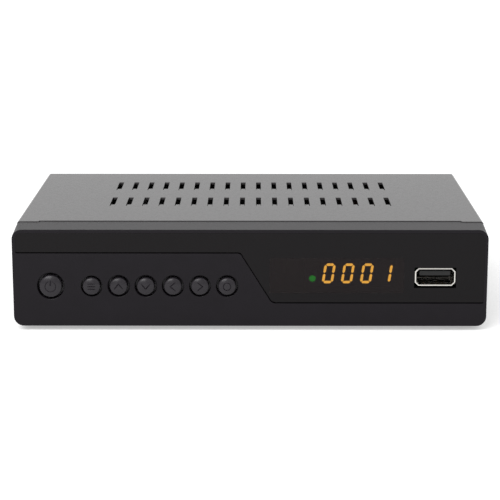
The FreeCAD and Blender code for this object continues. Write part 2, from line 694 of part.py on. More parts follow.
def switch_bodies():
    """Seven tactile switches on the front board, each with a bore for its plunger."""
    bodies = []
    for x, _ in button_holes():
        body = square_bar(x, BUTTON_Z, SWITCH_SIZE, SWITCH_DEPTH, FRONT_BOARD_DEPTH)
        bore_end = SWITCH_DEPTH + PLUNGER_INSIDE + PRESS_TRAVEL + PLUNGER_FIT
        bodies.append(body.cut(small_bar(x, BUTTON_Z, PLUNGER_RADIUS + PLUNGER_FIT, SWITCH_DEPTH, bore_end)))
    return group(bodies)


def button_guide():
    """Strip staked to the fascia that keeps the stems in line."""
    left = POWER_X - GUIDE_LEFT
    right = max(x for x, _ in stake_places()) + GUIDE_RIGHT
    half = GUIDE_HEIGHT / 2
    back = GUIDE_DEPTH + GUIDE_THICKNESS
    strip = block(left, right, GUIDE_DEPTH, back, BUTTON_Z - half, BUTTON_Z + half)
    for x, _ in button_holes():
        strip = strip.cut(square_bar(x, BUTTON_Z, STEM_WIDTH + 2 * STEM_PLAY, GUIDE_DEPTH, back))
    for x, z in stake_places():
        strip = strip.cut(square_bar(x, z, STAKE_WIDTH + 2 * STAKE_FIT, GUIDE_DEPTH, back))
    return strip


# ---- Front board, display and LEDs -----------------------------------------------------------------------
def front_board():
    """Upright board behind the fascia."""
    half = INNER_HALF - FRONT_BOARD_SIDE
    board = block(-half, half, FRONT_BOARD_DEPTH, FRONT_BOARD_BACK, INNER_BOTTOM + FRONT_BOARD_BOTTOM,
                  INNER_TOP - FRONT_BOARD_TOP)
    for x, z in front_screw_places():
        board = board.cut(small_bar(x, z, SCREW_HOLE_RADIUS, FRONT_BOARD_DEPTH, FRONT_BOARD_BACK))
    return board


def front_board_screws():
    """Four screws from behind the front board into the fascia's bosses."""
    return group(pan_screw(at(x, FRONT_BOARD_BACK, z), -REARWARD, BOARD_SCREW_LENGTH, SMALL_SIDES)
                 for x, z in front_screw_places())


def display_holder():
    """Light shield on the front board round the display module and the two LEDs."""
    front = FRONT_WALL + HOLDER_GAP
    outline = frame(*holder_sides(), FACE_TOP - HOLDER_BOTTOM_DROP, FACE_TOP - HOLDER_TOP_DROP)
    holder = front_profile(outline, front, FRONT_BOARD_DEPTH)
    pocket = around(DISPLAY_X, MODULE_WIDTH + 2 * MODULE_FIT, FACE_TOP - DISPLAY_DROP,
                    MODULE_HEIGHT + 2 * MODULE_FIT)
    holder = holder.cut(front_profile(pocket, front, FRONT_BOARD_DEPTH))
    for drop in (POWER_LED_DROP, STANDBY_LED_DROP):
        z = FACE_TOP - drop
        flange = LED_DEPTH + LED_LENGTH - LED_FLANGE - LED_FIT
        holder = holder.cut(small_bar(LED_X, z, LED_RADIUS + LED_FIT, front, flange))
        holder = holder.cut(square_bar(LED_X, z, LED_FLANGE_WIDTH + 2 * LED_FIT, flange, FRONT_BOARD_DEPTH))
    return holder


def display_module():
    """Body of the four-digit LED display."""
    outline = around(DISPLAY_X, MODULE_WIDTH, FACE_TOP - DISPLAY_DROP, MODULE_HEIGHT)
    return front_profile(outline, MODULE_DEPTH, FRONT_BOARD_DEPTH)


def segment(digit_x, u, v, length, is_upright):
    """One six-sided segment of a digit, leaning with it; u and v are its middle from the digit's middle."""
    half = length / 2 - STROKE_GAP
    across = STROKE / 2
    along = half - across
    corners = [(-half, 0), (-along, across), (along, across), (half, 0), (along, -across), (-along, -across)]
    lean = math.tan(math.radians(DIGIT_SLANT))
    outline = []
    for a, b in corners:
        p, q = (u + b, v + a) if is_upright else (u + a, v + b)
        outline.append((digit_x + p + q * lean, FACE_TOP - DISPLAY_DROP + q, 0))
    return front_profile(outline, MODULE_DEPTH - SEGMENT_THICKNESS, MODULE_DEPTH)


def digit_segments(digit_x):
    """The seven segments of one digit by their usual letters."""
    side = (DIGIT_WIDTH - STROKE) / 2
    rise = (DIGIT_HEIGHT - STROKE) / 2
    bar = 2 * side
    return {
        "a": segment(digit_x, 0, rise, bar, False),
        "b": segment(digit_x, side, rise / 2, rise, True),
        "c": segment(digit_x, side, -rise / 2, rise, True),
        "d": segment(digit_x, 0, -rise, bar, False),
        "e": segment(digit_x, -side, -rise / 2, rise, True),
        "f": segment(digit_x, -side, rise / 2, rise, True),
        "g": segment(digit_x, 0, 0, bar, False),
    }


def display_segments(lit):
    """All lit or all unlit segments of the reading."""
    shown = {"0": "abcdef", "1": "bc"}
    chosen = []
    for k, figure in enumerate(DIGITS):
        digit_x = DISPLAY_X + (k - (len(DIGITS) - 1) / 2) * DIGIT_PITCH
        for letter, solid in digit_segments(digit_x).items():
            if (letter in shown[figure]) == lit:
                chosen.append(solid)
    return group(chosen)


def led(drop):
    """Round LED with a square flange and two legs to the board."""
    z = FACE_TOP - drop
    back = LED_DEPTH + LED_LENGTH
    lens = small_bar(LED_X, z, LED_RADIUS, LED_DEPTH, back - LED_FLANGE)
    flange = square_bar(LED_X, z, LED_FLANGE_WIDTH, back - LED_FLANGE, back)
    legs = [square_bar(LED_X + side * LED_LEG_PITCH / 2, z, LEG_WIDTH, back, FRONT_BOARD_DEPTH)
            for side in (-1, 1)]
    return joined(lens, flange, *legs)


def ir_receiver():
    """Infrared eye: body with a round lens and three legs to the board."""
    z = FACE_TOP - EYE_DROP
    back = EYE_BODY_FRONT + EYE_BODY_LENGTH
    body = front_profile(around(EYE_X, EYE_WIDTH, z, EYE_HEIGHT), EYE_BODY_FRONT, back)
    lens = small_bar(EYE_X, z, EYE_LENS_RADIUS, EYE_BODY_FRONT - EYE_LENS_PROUD, EYE_BODY_FRONT)
    legs = [square_bar(EYE_X + k * EYE_LEG_PITCH, z, LEG_WIDTH, back, FRONT_BOARD_DEPTH) for k in (-1, 0, 1)]
    return joined(body, lens, *legs)


# ---- USB socket ------------------------------------------------------------------------------------------
def usb_shell():
    """Drawn steel shell with a flared mouth and a closed back, on the front board."""
    z = FACE_TOP - USB_DROP
    outer = around(USB_X, USB_WIDTH + 2 * USB_SHELL, z, USB_HEIGHT + 2 * USB_SHELL, USB_CORNER)
    mouth = around(USB_X, USB_FLARE_WIDTH, z, USB_FLARE_HEIGHT, USB_CORNER)
    inner = around(USB_X, USB_WIDTH, z, USB_HEIGHT, USB_CORNER - USB_SHELL)
    wide = around(USB_X, USB_FLARE_WIDTH - 2 * USB_SHELL, z, USB_FLARE_HEIGHT - 2 * USB_SHELL,
                  USB_CORNER - USB_SHELL)
    flare_end = USB_FACE + USB_FLARE_LENGTH
    body = front_loft([(mouth, USB_FACE), (outer, flare_end), (outer, FRONT_BOARD_DEPTH)], 1)
    hollow = [(wide, USB_FACE), (inner, flare_end), (inner, FRONT_BOARD_DEPTH - USB_SHELL)]
    return body.cut(front_loft(hollow, 1))


def usb_tongue_top():
    """Height of the tongue's upper face."""
    return FACE_TOP - USB_DROP + USB_HEIGHT / 2 - USB_TONGUE_TOP


def usb_tongue():
    """Insulator with the contact tongue."""
    z = FACE_TOP - USB_DROP
    back = FRONT_BOARD_DEPTH - USB_SHELL
    base_front = back - USB_BASE_LENGTH
    outline = around(USB_X, USB_WIDTH - 2 * SLIP, z, USB_HEIGHT - 2 * USB_BASE_CORNER)
    base = front_profile(outline, base_front, back)
    top = usb_tongue_top()
    half = USB_TONGUE_WIDTH / 2
    tongue = block(USB_X - half, USB_X + half, USB_FACE + USB_TONGUE_SETBACK, base_front + SLIP,
                   top - USB_TONGUE_THICKNESS, top)
    return joined(base, tongue)


def usb_contacts():
    """Four contact strips on the tongue's underside."""
    under = usb_tongue_top() - USB_TONGUE_THICKNESS
    front = FRONT_BOARD_DEPTH - USB_SHELL - USB_BASE_LENGTH - USB_CONTACT_LENGTH
    strips = []
    for k in range(USB_CONTACTS):
        x = USB_X + (k - (USB_CONTACTS - 1) / 2) * USB_CONTACT_PITCH
        strips.append(block(x - USB_CONTACT_WIDTH / 2, x + USB_CONTACT_WIDTH / 2, front,
                            front + USB_CONTACT_LENGTH, under - USB_CONTACT_THICKNESS, under))
    return group(strips)


# ---- Cover, chassis and feet -----------------------------------------------------------------------------
def side_screw_places():
    """(side, depth, z) of the screws through the cover's sides."""
    depths = (SIDE_SCREW_FRONT, BODY_DEPTH - SIDE_SCREW_REAR)
    return [(side, depth, FOOT_HEIGHT + SIDE_SCREW_HEIGHT) for side in (-1, 1) for depth in depths]


def side_hole(side, depth, z, radius):
    """Hole through the steel of one side."""
    start = at(side * (CHASSIS_HALF - 2 * SHEET), depth, z)
    return prism(start, RIGHT * side, radius, SMALL_SIDES, 4 * SHEET)


def vent_flap(x, front):
    """Lanced strip, level with the cover at its root and curving down towards the rear."""
    full_turn = math.radians(FLAP_TURN)
    outer_radius = (VENT_LENGTH - FLAP_END_GAP - FLAP_FLAT) / math.sin(full_turn)
    turns = [full_turn * step / FLAP_STEPS for step in range(FLAP_STEPS + 1)]
    x0 = x - VENT_WIDTH / 2 + FLAP_SIDE_GAP

    def along(radius, turn):
        depth = front + FLAP_FLAT + radius * math.sin(turn)
        return at(x0, depth, FACE_TOP - outer_radius + radius * math.cos(turn))

    upper = [at(x0, front, FACE_TOP)] + [along(outer_radius, turn) for turn in turns]
    under = [at(x0, front, COVER_UNDER)] + [along(outer_radius - SHEET, turn) for turn in turns]
    outline = Part.makePolygon(upper + under[::-1] + upper[:1])
    return upright(Part.Face(outline).extrude(RIGHT * (VENT_WIDTH - 2 * FLAP_SIDE_GAP)))


def vent_places():
    """(x, depth of the front end) of every vent slot."""
    last_row = BODY_DEPTH - VENT_REAR_MARGIN - VENT_LENGTH
    places = []
    for row in range(VENT_ROWS):
        for column in range(VENT_COLUMNS):
            x = (column - (VENT_COLUMNS - 1) / 2) * VENT_PITCH
            places.append((x, last_row - row * VENT_ROW_PITCH))
    return places


def top_cover():
    """Folded steel cover with corner tabs, screw holes and two rows of lanced vents."""
    inner_bend = BEND_RADIUS - SHEET
    section = [
        (-HALF_WIDTH, FOOT_HEIGHT, 0), (-HALF_WIDTH, FACE_TOP, BEND_RADIUS),
        (HALF_WIDTH, FACE_TOP, BEND_RADIUS), (HALF_WIDTH, FOOT_HEIGHT, 0),
        (COVER_HALF, FOOT_HEIGHT, 0), (COVER_HALF, COVER_UNDER, inner_bend),
        (-COVER_HALF, COVER_UNDER, inner_bend), (-COVER_HALF, FOOT_HEIGHT, 0),
    ]
    tab_front = COVER_FRONT - TAB_LENGTH
    cover = front_profile(section, tab_front, BODY_DEPTH)
    tab_x = HALF_WIDTH - TAB_WIDTH + SEAM
    cover = cover.cut(block(-tab_x, tab_x, tab_front, COVER_FRONT, FOOT_HEIGHT, FACE_TOP))
    cover = cover.cut(block(-HALF_WIDTH, HALF_WIDTH, tab_front, COVER_FRONT, FOOT_HEIGHT, COVER_UNDER))
    slots = [block(x - VENT_WIDTH / 2, x + VENT_WIDTH / 2, front, front + VENT_LENGTH, COVER_UNDER, FACE_TOP)
             for x, front in vent_places()]
    cover = cover.cut(slots)
    cover = joined(cover, *[vent_flap(x, front) for x, front in vent_places()])
    for side, depth, z in side_screw_places():
        cover = cover.cut(side_hole(side, depth, z, SCREW_HOLE_RADIUS))
    return cover


def cover_screws():
    """Four screws that hold the cover to the chassis's side flanges."""
    screws = []
    for side, depth, z in side_screw_places():
        seat = at(side * HALF_WIDTH, depth, z)
        screws.append(pan_screw(seat, RIGHT * -side, SIDE_SCREW_LENGTH, ROUND_SIDES))
    return group(screws)


def rear_panel_openings():
    """Solids that the rear panel is cut with, one for each socket."""
    depth0 = PANEL_INSIDE - SHEET
    depth1 = REAR_FACE + SHEET
    gap = PANEL_CLEARANCE
    cuts = [ring_bar(x, BOARD_TOP + F_HEIGHT, F_RADIUS + gap, depth0, depth1) for x in f_places()]
    cuts.append(ring_bar(COAX_X, BOARD_TOP + COAX_HEIGHT, COAX_RADIUS + gap, depth0, depth1))
    cuts.append(ring_bar(IR_JACK_X, BOARD_TOP + IR_JACK_HEIGHT / 2, IR_NOSE_RADIUS + gap, depth0, depth1))
    cuts.append(front_profile(scart_corners(gap), depth0, depth1))
    cuts.append(front_profile(hdmi_corners(gap), depth0, depth1))
    half = DC_WIDTH / 2 + gap
    cuts.append(block(DC_X - half, DC_X + half, depth0, depth1, BOARD_TOP - gap, BOARD_TOP + DC_HEIGHT + gap))
    return cuts


def chassis():
    """Folded steel tray: front flange with hook slots, floor with vents, side flanges and rear panel."""
    inner_bend = BEND_RADIUS - SHEET
    flange_top = FACE_TOP - FRONT_FLANGE_TOP
    panel_top = COVER_UNDER - SLIP
    front_back = CHASSIS_FRONT + SHEET
    section = [
        (CHASSIS_FRONT, flange_top, 0), (CHASSIS_FRONT, FOOT_HEIGHT, BEND_RADIUS),
        (REAR_FACE, FOOT_HEIGHT, BEND_RADIUS), (REAR_FACE, panel_top, BEND_RADIUS),
        (REAR_FACE - TOP_FLANGE, panel_top, 0), (REAR_FACE - TOP_FLANGE, panel_top - SHEET, 0),
        (PANEL_INSIDE, panel_top - SHEET, inner_bend), (PANEL_INSIDE, CHASSIS_FLOOR, inner_bend),
        (front_back, CHASSIS_FLOOR, inner_bend), (front_back, flange_top, 0),
    ]
    middle_half = INNER_HALF - SEAM
    middle = side_profile(section, -middle_half, middle_half)
    side_top = FOOT_HEIGHT + SIDE_FLANGE_HEIGHT
    inner_half = CHASSIS_HALF - SHEET
    trough = [
        (-CHASSIS_HALF, side_top, 0), (-CHASSIS_HALF, FOOT_HEIGHT, BEND_RADIUS),
        (CHASSIS_HALF, FOOT_HEIGHT, BEND_RADIUS), (CHASSIS_HALF, side_top, 0), (inner_half, side_top, 0),
        (inner_half, CHASSIS_FLOOR, inner_bend), (-inner_half, CHASSIS_FLOOR, inner_bend),
        (-inner_half, side_top, 0),
    ]
    sides = front_profile(trough, SIDE_FLANGE_FRONT, PANEL_INSIDE - SLIP)
    panel = block(-CHASSIS_HALF, CHASSIS_HALF, PANEL_INSIDE, REAR_FACE, CHASSIS_FLOOR,
                  panel_top - BEND_RADIUS)
    tray = joined(middle, sides, panel)

    cuts = rear_panel_openings()
    sill = CHASSIS_FLOOR + FLANGE_WINDOW_SILL
    head = flange_top - FLANGE_WINDOW_HEAD
    window_half = HALF_WIDTH - FLANGE_WINDOW_INSET
    window = frame(-window_half, window_half, sill, head)
    cuts.append(front_profile(window, CHASSIS_FRONT - SHEET, front_back + SHEET))
    slot_half = HOOK_WIDTH / 2 + HOOK_SLOT_FIT
    slot_top = INNER_BOTTOM + HOOK_THICKNESS + HOOK_SLOT_FIT
    for side in (-1, 1):
        x = side * (HALF_WIDTH - HOOK_INSET)
        cuts.append(block(x - slot_half, x + slot_half, CHASSIS_FRONT - SHEET, front_back, FOOT_HEIGHT,
                          slot_top))
    for k in range(FLOOR_VENTS):
        x = (k - (FLOOR_VENTS - 1) / 2) * FLOOR_VENT_PITCH
        slot = frame(x - FLOOR_VENT_WIDTH / 2, x + FLOOR_VENT_WIDTH / 2, FLOOR_VENT_FRONT,
                     FLOOR_VENT_FRONT + FLOOR_VENT_LENGTH)
        cuts.append(top_profile(slot, FOOT_HEIGHT, CHASSIS_FLOOR))
    for side, depth, z in side_screw_places():
        cuts.append(side_hole(side, depth, z, SCREW_TAP_RADIUS))
    return tray.cut(cuts)


def foot_places():
    """(x, depth) of the four feet."""
    depths = (FOOT_FRONT, BODY_DEPTH - FOOT_REAR)
    return [(side * (HALF_WIDTH - FOOT_INSET), depth) for side in (-1, 1) for depth in depths]


def rubber_feet():
    """Four stick-on rubber feet."""
    return group(prism(at(x, depth, 0), UP, FOOT_RADIUS, ROUND_SIDES, FOOT_HEIGHT)
                 for x, depth in foot_places())


# ---- Main board ------------------------------------------------------------------------------------------
def main_screw_places():
    """(x, depth) of the main board's screws."""
    depths = (MAIN_SCREW_FRONT, PANEL_INSIDE - MAIN_SCREW_REAR)
    x = MAIN_BOARD_HALF - MAIN_SCREW_INSET
    return [(side * x, depth) for side in (-1, 1) for depth in depths]


def board_standoffs():
    """Four hexagonal spacers between the chassis's floor and the main board."""
    spacers = []
    for x, depth in main_screw_places():
        foot = at(x, depth, CHASSIS_FLOOR)
        spacer = prism(foot, UP, STANDOFF_FLATS / 2, 6, STANDOFF_HEIGHT)
        spacers.append(spacer.cut(prism(foot, UP, SCREW_TAP_RADIUS, SMALL_SIDES, STANDOFF_HEIGHT)))
    return group(spacers)


def main_board():
    """Flat board that carries the tuner, the sockets and the chips."""
    board = block(-MAIN_BOARD_HALF, MAIN_BOARD_HALF, MAIN_BOARD_FRONT, PANEL_INSIDE - MAIN_BOARD_REAR_GAP,
                  BOARD_UNDER, BOARD_TOP)
    for x, depth in main_screw_places():
        board = board.cut(prism(at(x, depth, BOARD_UNDER), UP, SCREW_HOLE_RADIUS, SMALL_SIDES, BOARD))
    return board


def main_board_screws():
    """Four screws through the main board into its spacers."""
    return group(pan_screw(at(x, depth, BOARD_TOP), -UP, BOARD_SCREW_LENGTH, SMALL_SIDES)
                 for x, depth in main_screw_places())


def board_header():
    """Row of pins in a strip on the main board, with a strip on the front board that they enter."""
    z = BOARD_TOP + HEADER_RISE
    half = HEADER_PINS * HEADER_SPACING / 2
    strips = [block(HEADER_X - half, HEADER_X + half, front, front + HEADER_BODY, BOARD_TOP,
                    BOARD_TOP + HEADER_BODY) for front in (MAIN_BOARD_FRONT, FRONT_BOARD_BACK)]
    start = FRONT_BOARD_BACK + HEADER_PIN
    end = MAIN_BOARD_FRONT + HEADER_BODY + HEADER_PIN
    pins = []
    for k in range(HEADER_PINS):
        x = HEADER_X + (k - (HEADER_PINS - 1) / 2) * HEADER_SPACING
        pins.append(square_bar(x, z, HEADER_PIN, start, end))
    return joined(*strips, *pins)


def on_board(places, make):
    """Parts made by a function at several (x, depth) places."""
    return group(make(x, depth) for x, depth in places)


def chip(x, depth, width, length, base, height):
    """Flat rectangular package."""
    return top_profile(around(x, width, depth, length), base, base + height)


def processor():
    """Decoder chip."""
    return chip(PROCESSOR_X, PROCESSOR_DEPTH, PROCESSOR_SIZE, PROCESSOR_SIZE, BOARD_TOP, PROCESSOR_HEIGHT)


def heatsink():
    """Finned heatsink on the processor."""
    base = BOARD_TOP + PROCESSOR_HEIGHT
    half = HEATSINK_SIZE / 2
    top = base + HEATSINK_HEIGHT
    front, rear = PROCESSOR_DEPTH - half, PROCESSOR_DEPTH + half
    sink = block(PROCESSOR_X - half, PROCESSOR_X + half, front, rear, base, top)
    gap = (HEATSINK_SIZE - HEATSINK_FINS * HEATSINK_FIN) / (HEATSINK_FINS - 1)
    for k in range(HEATSINK_FINS - 1):
        x = PROCESSOR_X - half + HEATSINK_FIN + k * (HEATSINK_FIN + gap)
        sink = sink.cut(block(x, x + gap, front, rear, base + HEATSINK_BASE, top))
    return sink


def memory_chips():
    """Memory chips beside the processor."""
    return on_board(MEMORY_PLACES,
                    lambda x, depth: chip(x, depth, MEMORY_SIZE, MEMORY_LENGTH, BOARD_TOP, MEMORY_HEIGHT))


def capacitors():
    """Electrolytic capacitors of the power input."""
    return on_board(CAPACITOR_PLACES,
                    lambda x, depth: prism(at(x, depth, BOARD_TOP), UP, CAPACITOR_RADIUS, SMALL_SIDES,
                                           CAPACITOR_HEIGHT))


def inductors():
    """Shielded inductors of the voltage regulators."""
    return on_board(INDUCTOR_PLACES,
                    lambda x, depth: chip(x, depth, INDUCTOR_SIZE, INDUCTOR_SIZE, BOARD_TOP, INDUCTOR_HEIGHT))


def crystal():
    """Quartz crystal can."""
    return chip(CRYSTAL_X, CRYSTAL_DEPTH, CRYSTAL_LENGTH, CRYSTAL_WIDTH, BOARD_TOP, CRYSTAL_HEIGHT)


# ---- Rear sockets ----------------------------------------------------------------------------------------
def f_places():
    """Centres of the two F connectors, the input on the left seen from the front."""
    return [TUNER_X - F_SPACING / 2, TUNER_X + F_SPACING / 2]


def tuner_rear():
    """Depth of the tuner's end wall."""
    return PANEL_INSIDE - TUNER_PANEL_GAP


def tuner_can():
    """Open steel frame of the tuner, with the F connectors on its end wall."""
    rear = tuner_rear()
    front = rear - TUNER_LENGTH
    half = TUNER_WIDTH / 2
    top = BOARD_TOP + TUNER_HEIGHT
    can = block(TUNER_X - half, TUNER_X + half, front, rear, BOARD_TOP, top)
    return can.cut(block(TUNER_X - half + TUNER_WALL, TUNER_X + half - TUNER_WALL, front + TUNER_WALL,
                         rear - TUNER_WALL, BOARD_TOP, top))


def tuner_lid():
    """Press-on lid of the tuner, with a short skirt on three sides."""
    rear = tuner_rear()
    front = rear - TUNER_LENGTH
    half = TUNER_WIDTH / 2
    top = BOARD_TOP + TUNER_HEIGHT
    skirt = top - LID_SKIRT
    lid = block(TUNER_X - LID_WIDTH / 2, TUNER_X + LID_WIDTH / 2, front - SLIP - TUNER_WALL, rear, skirt,
                top + TUNER_WALL)
    return lid.cut(block(TUNER_X - half - SLIP, TUNER_X + half + SLIP, front - SLIP, rear, skirt, top))


def rear_sleeve(x, z, radius, bore_radius, root, passed, tip):
    """Sleeve out of the case, with flats as far as what it passes through and round where the plug goes on."""
    shoulder = passed + SLEEVE_SHOULDER
    sleeve = joined(ring_bar(x, z, radius, root, shoulder), rod(x, z, radius, shoulder, tip))
    return sleeve.cut(ring_bar(x, z, bore_radius, root, tip))


def f_connector(x):
    """Barrel of an F connector, from the tuner's end wall out through the rear panel and its nut."""
    return rear_sleeve(x, BOARD_TOP + F_HEIGHT, F_RADIUS, F_BORE_RADIUS, tuner_rear(),
                       REAR_FACE + F_NUT_THICKNESS, REAR_FACE + F_REACH)


def f_insulators():
    """White insulator of each F connector, with the hole that the cable's wire enters."""
    z = BOARD_TOP + F_HEIGHT
    face = REAR_FACE + F_REACH - F_INSULATOR_SETBACK
    radius = F_BORE_RADIUS - F_THREAD_FIT
    return group(ring_bar(x, z, radius, tuner_rear(), face).cut(
        small_bar(x, z, F_CONTACT_RADIUS, face - F_CONTACT_DEPTH, face)) for x in f_places())


def f_nuts():
    """Hexagonal nut on each F connector, outside the rear panel."""
    z = BOARD_TOP + F_HEIGHT
    end = REAR_FACE + F_NUT_THICKNESS
    return group(prism(at(x, REAR_FACE, z), REARWARD, F_NUT_FLATS / 2, 6, F_NUT_THICKNESS).cut(
        ring_bar(x, z, F_RADIUS + F_THREAD_FIT, REAR_FACE, end)) for x in f_places())


def scart_corners(gap):
    """Keyed outline of the SCART socket, grown by a gap."""
    left = SCART_X - SCART_WIDTH / 2 - gap
    right = SCART_X + SCART_WIDTH / 2 + gap
    bottom = BOARD_TOP + SCART_BASE - gap
    top = BOARD_TOP + SCART_BASE + SCART_HEIGHT + gap
    slant = SCART_SLANT + gap / 2
    return [(left, bottom, 0), (right - slant, bottom, 0), (right, bottom + slant, 0), (right, top, 0),
            (left, top, 0)]


def scart_slots():
    """(x, z) of every contact slot in two rows."""
    middle = BOARD_TOP + SCART_BASE + SCART_HEIGHT / 2
    places = []
    for row in (-1, 1):
        for k in range(SCART_CONTACTS):
            x = SCART_X - SCART_SLANT / 4 + (k - (SCART_CONTACTS - 1) / 2 + row / 4) * SCART_PITCH
            places.append((x, middle + row * SCART_ROW_OFFSET))
    return places


def scart_housing():
    """SCART socket: shell, groove for the plug's shield and the slotted block inside it."""
    front = REAR_FACE + SCART_PROUD - SCART_LENGTH
    face = REAR_FACE + SCART_PROUD
    body = front_profile(scart_corners(0), front, face)
    groove = front_profile(scart_corners(-SCART_WALL), face - SCART_GROOVE_DEPTH, face)
    island = front_profile(scart_corners(-SCART_WALL - SCART_GROOVE), face - SCART_GROOVE_DEPTH, face)
    body = body.cut(groove.cut(island))
    half = SCART_SLOT_WIDTH / 2
    rise = SCART_SLOT_HEIGHT / 2
    slots = [block(x - half, x + half, face - SCART_SLOT_DEPTH, face, z - rise, z + rise)
             for x, z in scart_slots()]
    foot_half = SCART_WIDTH / 4
    foot = block(SCART_X - foot_half, SCART_X + foot_half, front, PANEL_INSIDE - MAIN_BOARD_REAR_GAP,
                 BOARD_TOP, BOARD_TOP + SCART_BASE)
    return joined(body.cut(slots), foot)


def scart_contacts():
    """Sprung contacts at the bottom of the SCART slots."""
    face = REAR_FACE + SCART_PROUD
    half = SCART_SLOT_WIDTH / 2 - SCART_CONTACT_WALL
    rise = SCART_SLOT_HEIGHT / 2 - SCART_CONTACT_WALL
    floor = face - SCART_SLOT_DEPTH
    return group(block(x - half, x + half, floor, floor + SCART_SLOT_DEPTH / 2, z - rise, z + rise)
                 for x, z in scart_slots())


def hdmi_corners(gap):
    """Outline of the HDMI socket with its two slanted lower corners, grown by a gap."""
    half = HDMI_WIDTH / 2 + gap
    bottom = BOARD_TOP - gap
    top = BOARD_TOP + HDMI_HEIGHT + gap
    slant = HDMI_CHAMFER + gap / 2
    return [(HDMI_X - half + slant, bottom, 0), (HDMI_X + half - slant, bottom, 0),
            (HDMI_X + half, bottom + slant, 0), (HDMI_X + half, top, 0), (HDMI_X - half, top, 0),
            (HDMI_X - half, bottom + slant, 0)]


def hdmi_shell():
    """Steel shell of the HDMI socket, closed at the back."""
    face = REAR_FACE + HDMI_PROUD
    front = face - HDMI_LENGTH
    shell = front_profile(hdmi_corners(0), front, face)
    return shell.cut(front_profile(hdmi_corners(-HDMI_SHELL), front + HDMI_SHELL, face))


def hdmi_insert():
    """Insulator of the HDMI socket with its tongue."""
    face = REAR_FACE + HDMI_PROUD
    front = face - HDMI_LENGTH + HDMI_SHELL
    base = front_profile(hdmi_corners(-HDMI_SHELL - SLIP), front, front + HDMI_BASE_LENGTH)
    z = BOARD_TOP + HDMI_HEIGHT / 2
    half = HDMI_TONGUE_WIDTH / 2
    tongue = block(HDMI_X - half, HDMI_X + half, front + HDMI_BASE_LENGTH - SLIP, face - USB_TONGUE_SETBACK,
                   z - HDMI_TONGUE_THICKNESS / 2, z + HDMI_TONGUE_THICKNESS / 2)
    return joined(base, tongue)


def coax_shell():
    """Plated sleeve of the coaxial digital output."""
    return rear_sleeve(COAX_X, BOARD_TOP + COAX_HEIGHT, COAX_RADIUS, COAX_RADIUS - COAX_WALL,
                       PANEL_INSIDE - COAX_ROOT, REAR_FACE, REAR_FACE + COAX_REACH)


def coax_insulator():
    """Body of the coaxial output on the board and the bored insulator in its sleeve."""
    seat = PANEL_INSIDE - COAX_ROOT
    z = BOARD_TOP + COAX_HEIGHT
    half = COAX_BODY_WIDTH / 2
    body = block(COAX_X - half, COAX_X + half, seat - COAX_BODY_LENGTH, seat, BOARD_TOP,
                 BOARD_TOP + COAX_BODY_HEIGHT)
    tip = REAR_FACE + COAX_REACH - COAX_SETBACK
    core = ring_bar(COAX_X, z, COAX_RADIUS - COAX_WALL - F_THREAD_FIT, seat - SLIP, tip)
    return joined(body, core).cut(rod(COAX_X, z, COAX_PIN_BORE, seat, tip))


def ir_jack():
    """3.5 mm jack for an infrared extension."""
    z = BOARD_TOP + IR_JACK_HEIGHT / 2
    half = IR_JACK_WIDTH / 2
    body = block(IR_JACK_X - half, IR_JACK_X + half, PANEL_INSIDE - IR_JACK_LENGTH, PANEL_INSIDE, BOARD_TOP,
                 BOARD_TOP + IR_JACK_HEIGHT)
    tip = REAR_FACE + IR_NOSE_REACH
    nose = ring_bar(IR_JACK_X, z, IR_NOSE_RADIUS, PANEL_INSIDE - SLIP, tip)
    return joined(body, nose).cut(rod(IR_JACK_X, z, IR_BORE_RADIUS, tip - IR_BORE_DEPTH, tip))


def dc_inlet():
    """Moulded body of the 12 V inlet with its round well."""
    face = REAR_FACE + DC_PROUD
    half = DC_WIDTH / 2
    body = block(DC_X - half, DC_X + half, face - DC_LENGTH, face, BOARD_TOP, BOARD_TOP + DC_HEIGHT)
    z = BOARD_TOP + DC_AXIS
    return body.cut(rod(DC_X, z, DC_BORE_RADIUS, face - DC_BORE_DEPTH, face))


def dc_centre_pin():
    """Centre pin of the 12 V inlet, on the floor of the well."""
    face = REAR_FACE + DC_PROUD
    return rod(DC_X, BOARD_TOP + DC_AXIS, DC_PIN_RADIUS, face - DC_BORE_DEPTH, face - DC_PIN_SETBACK)


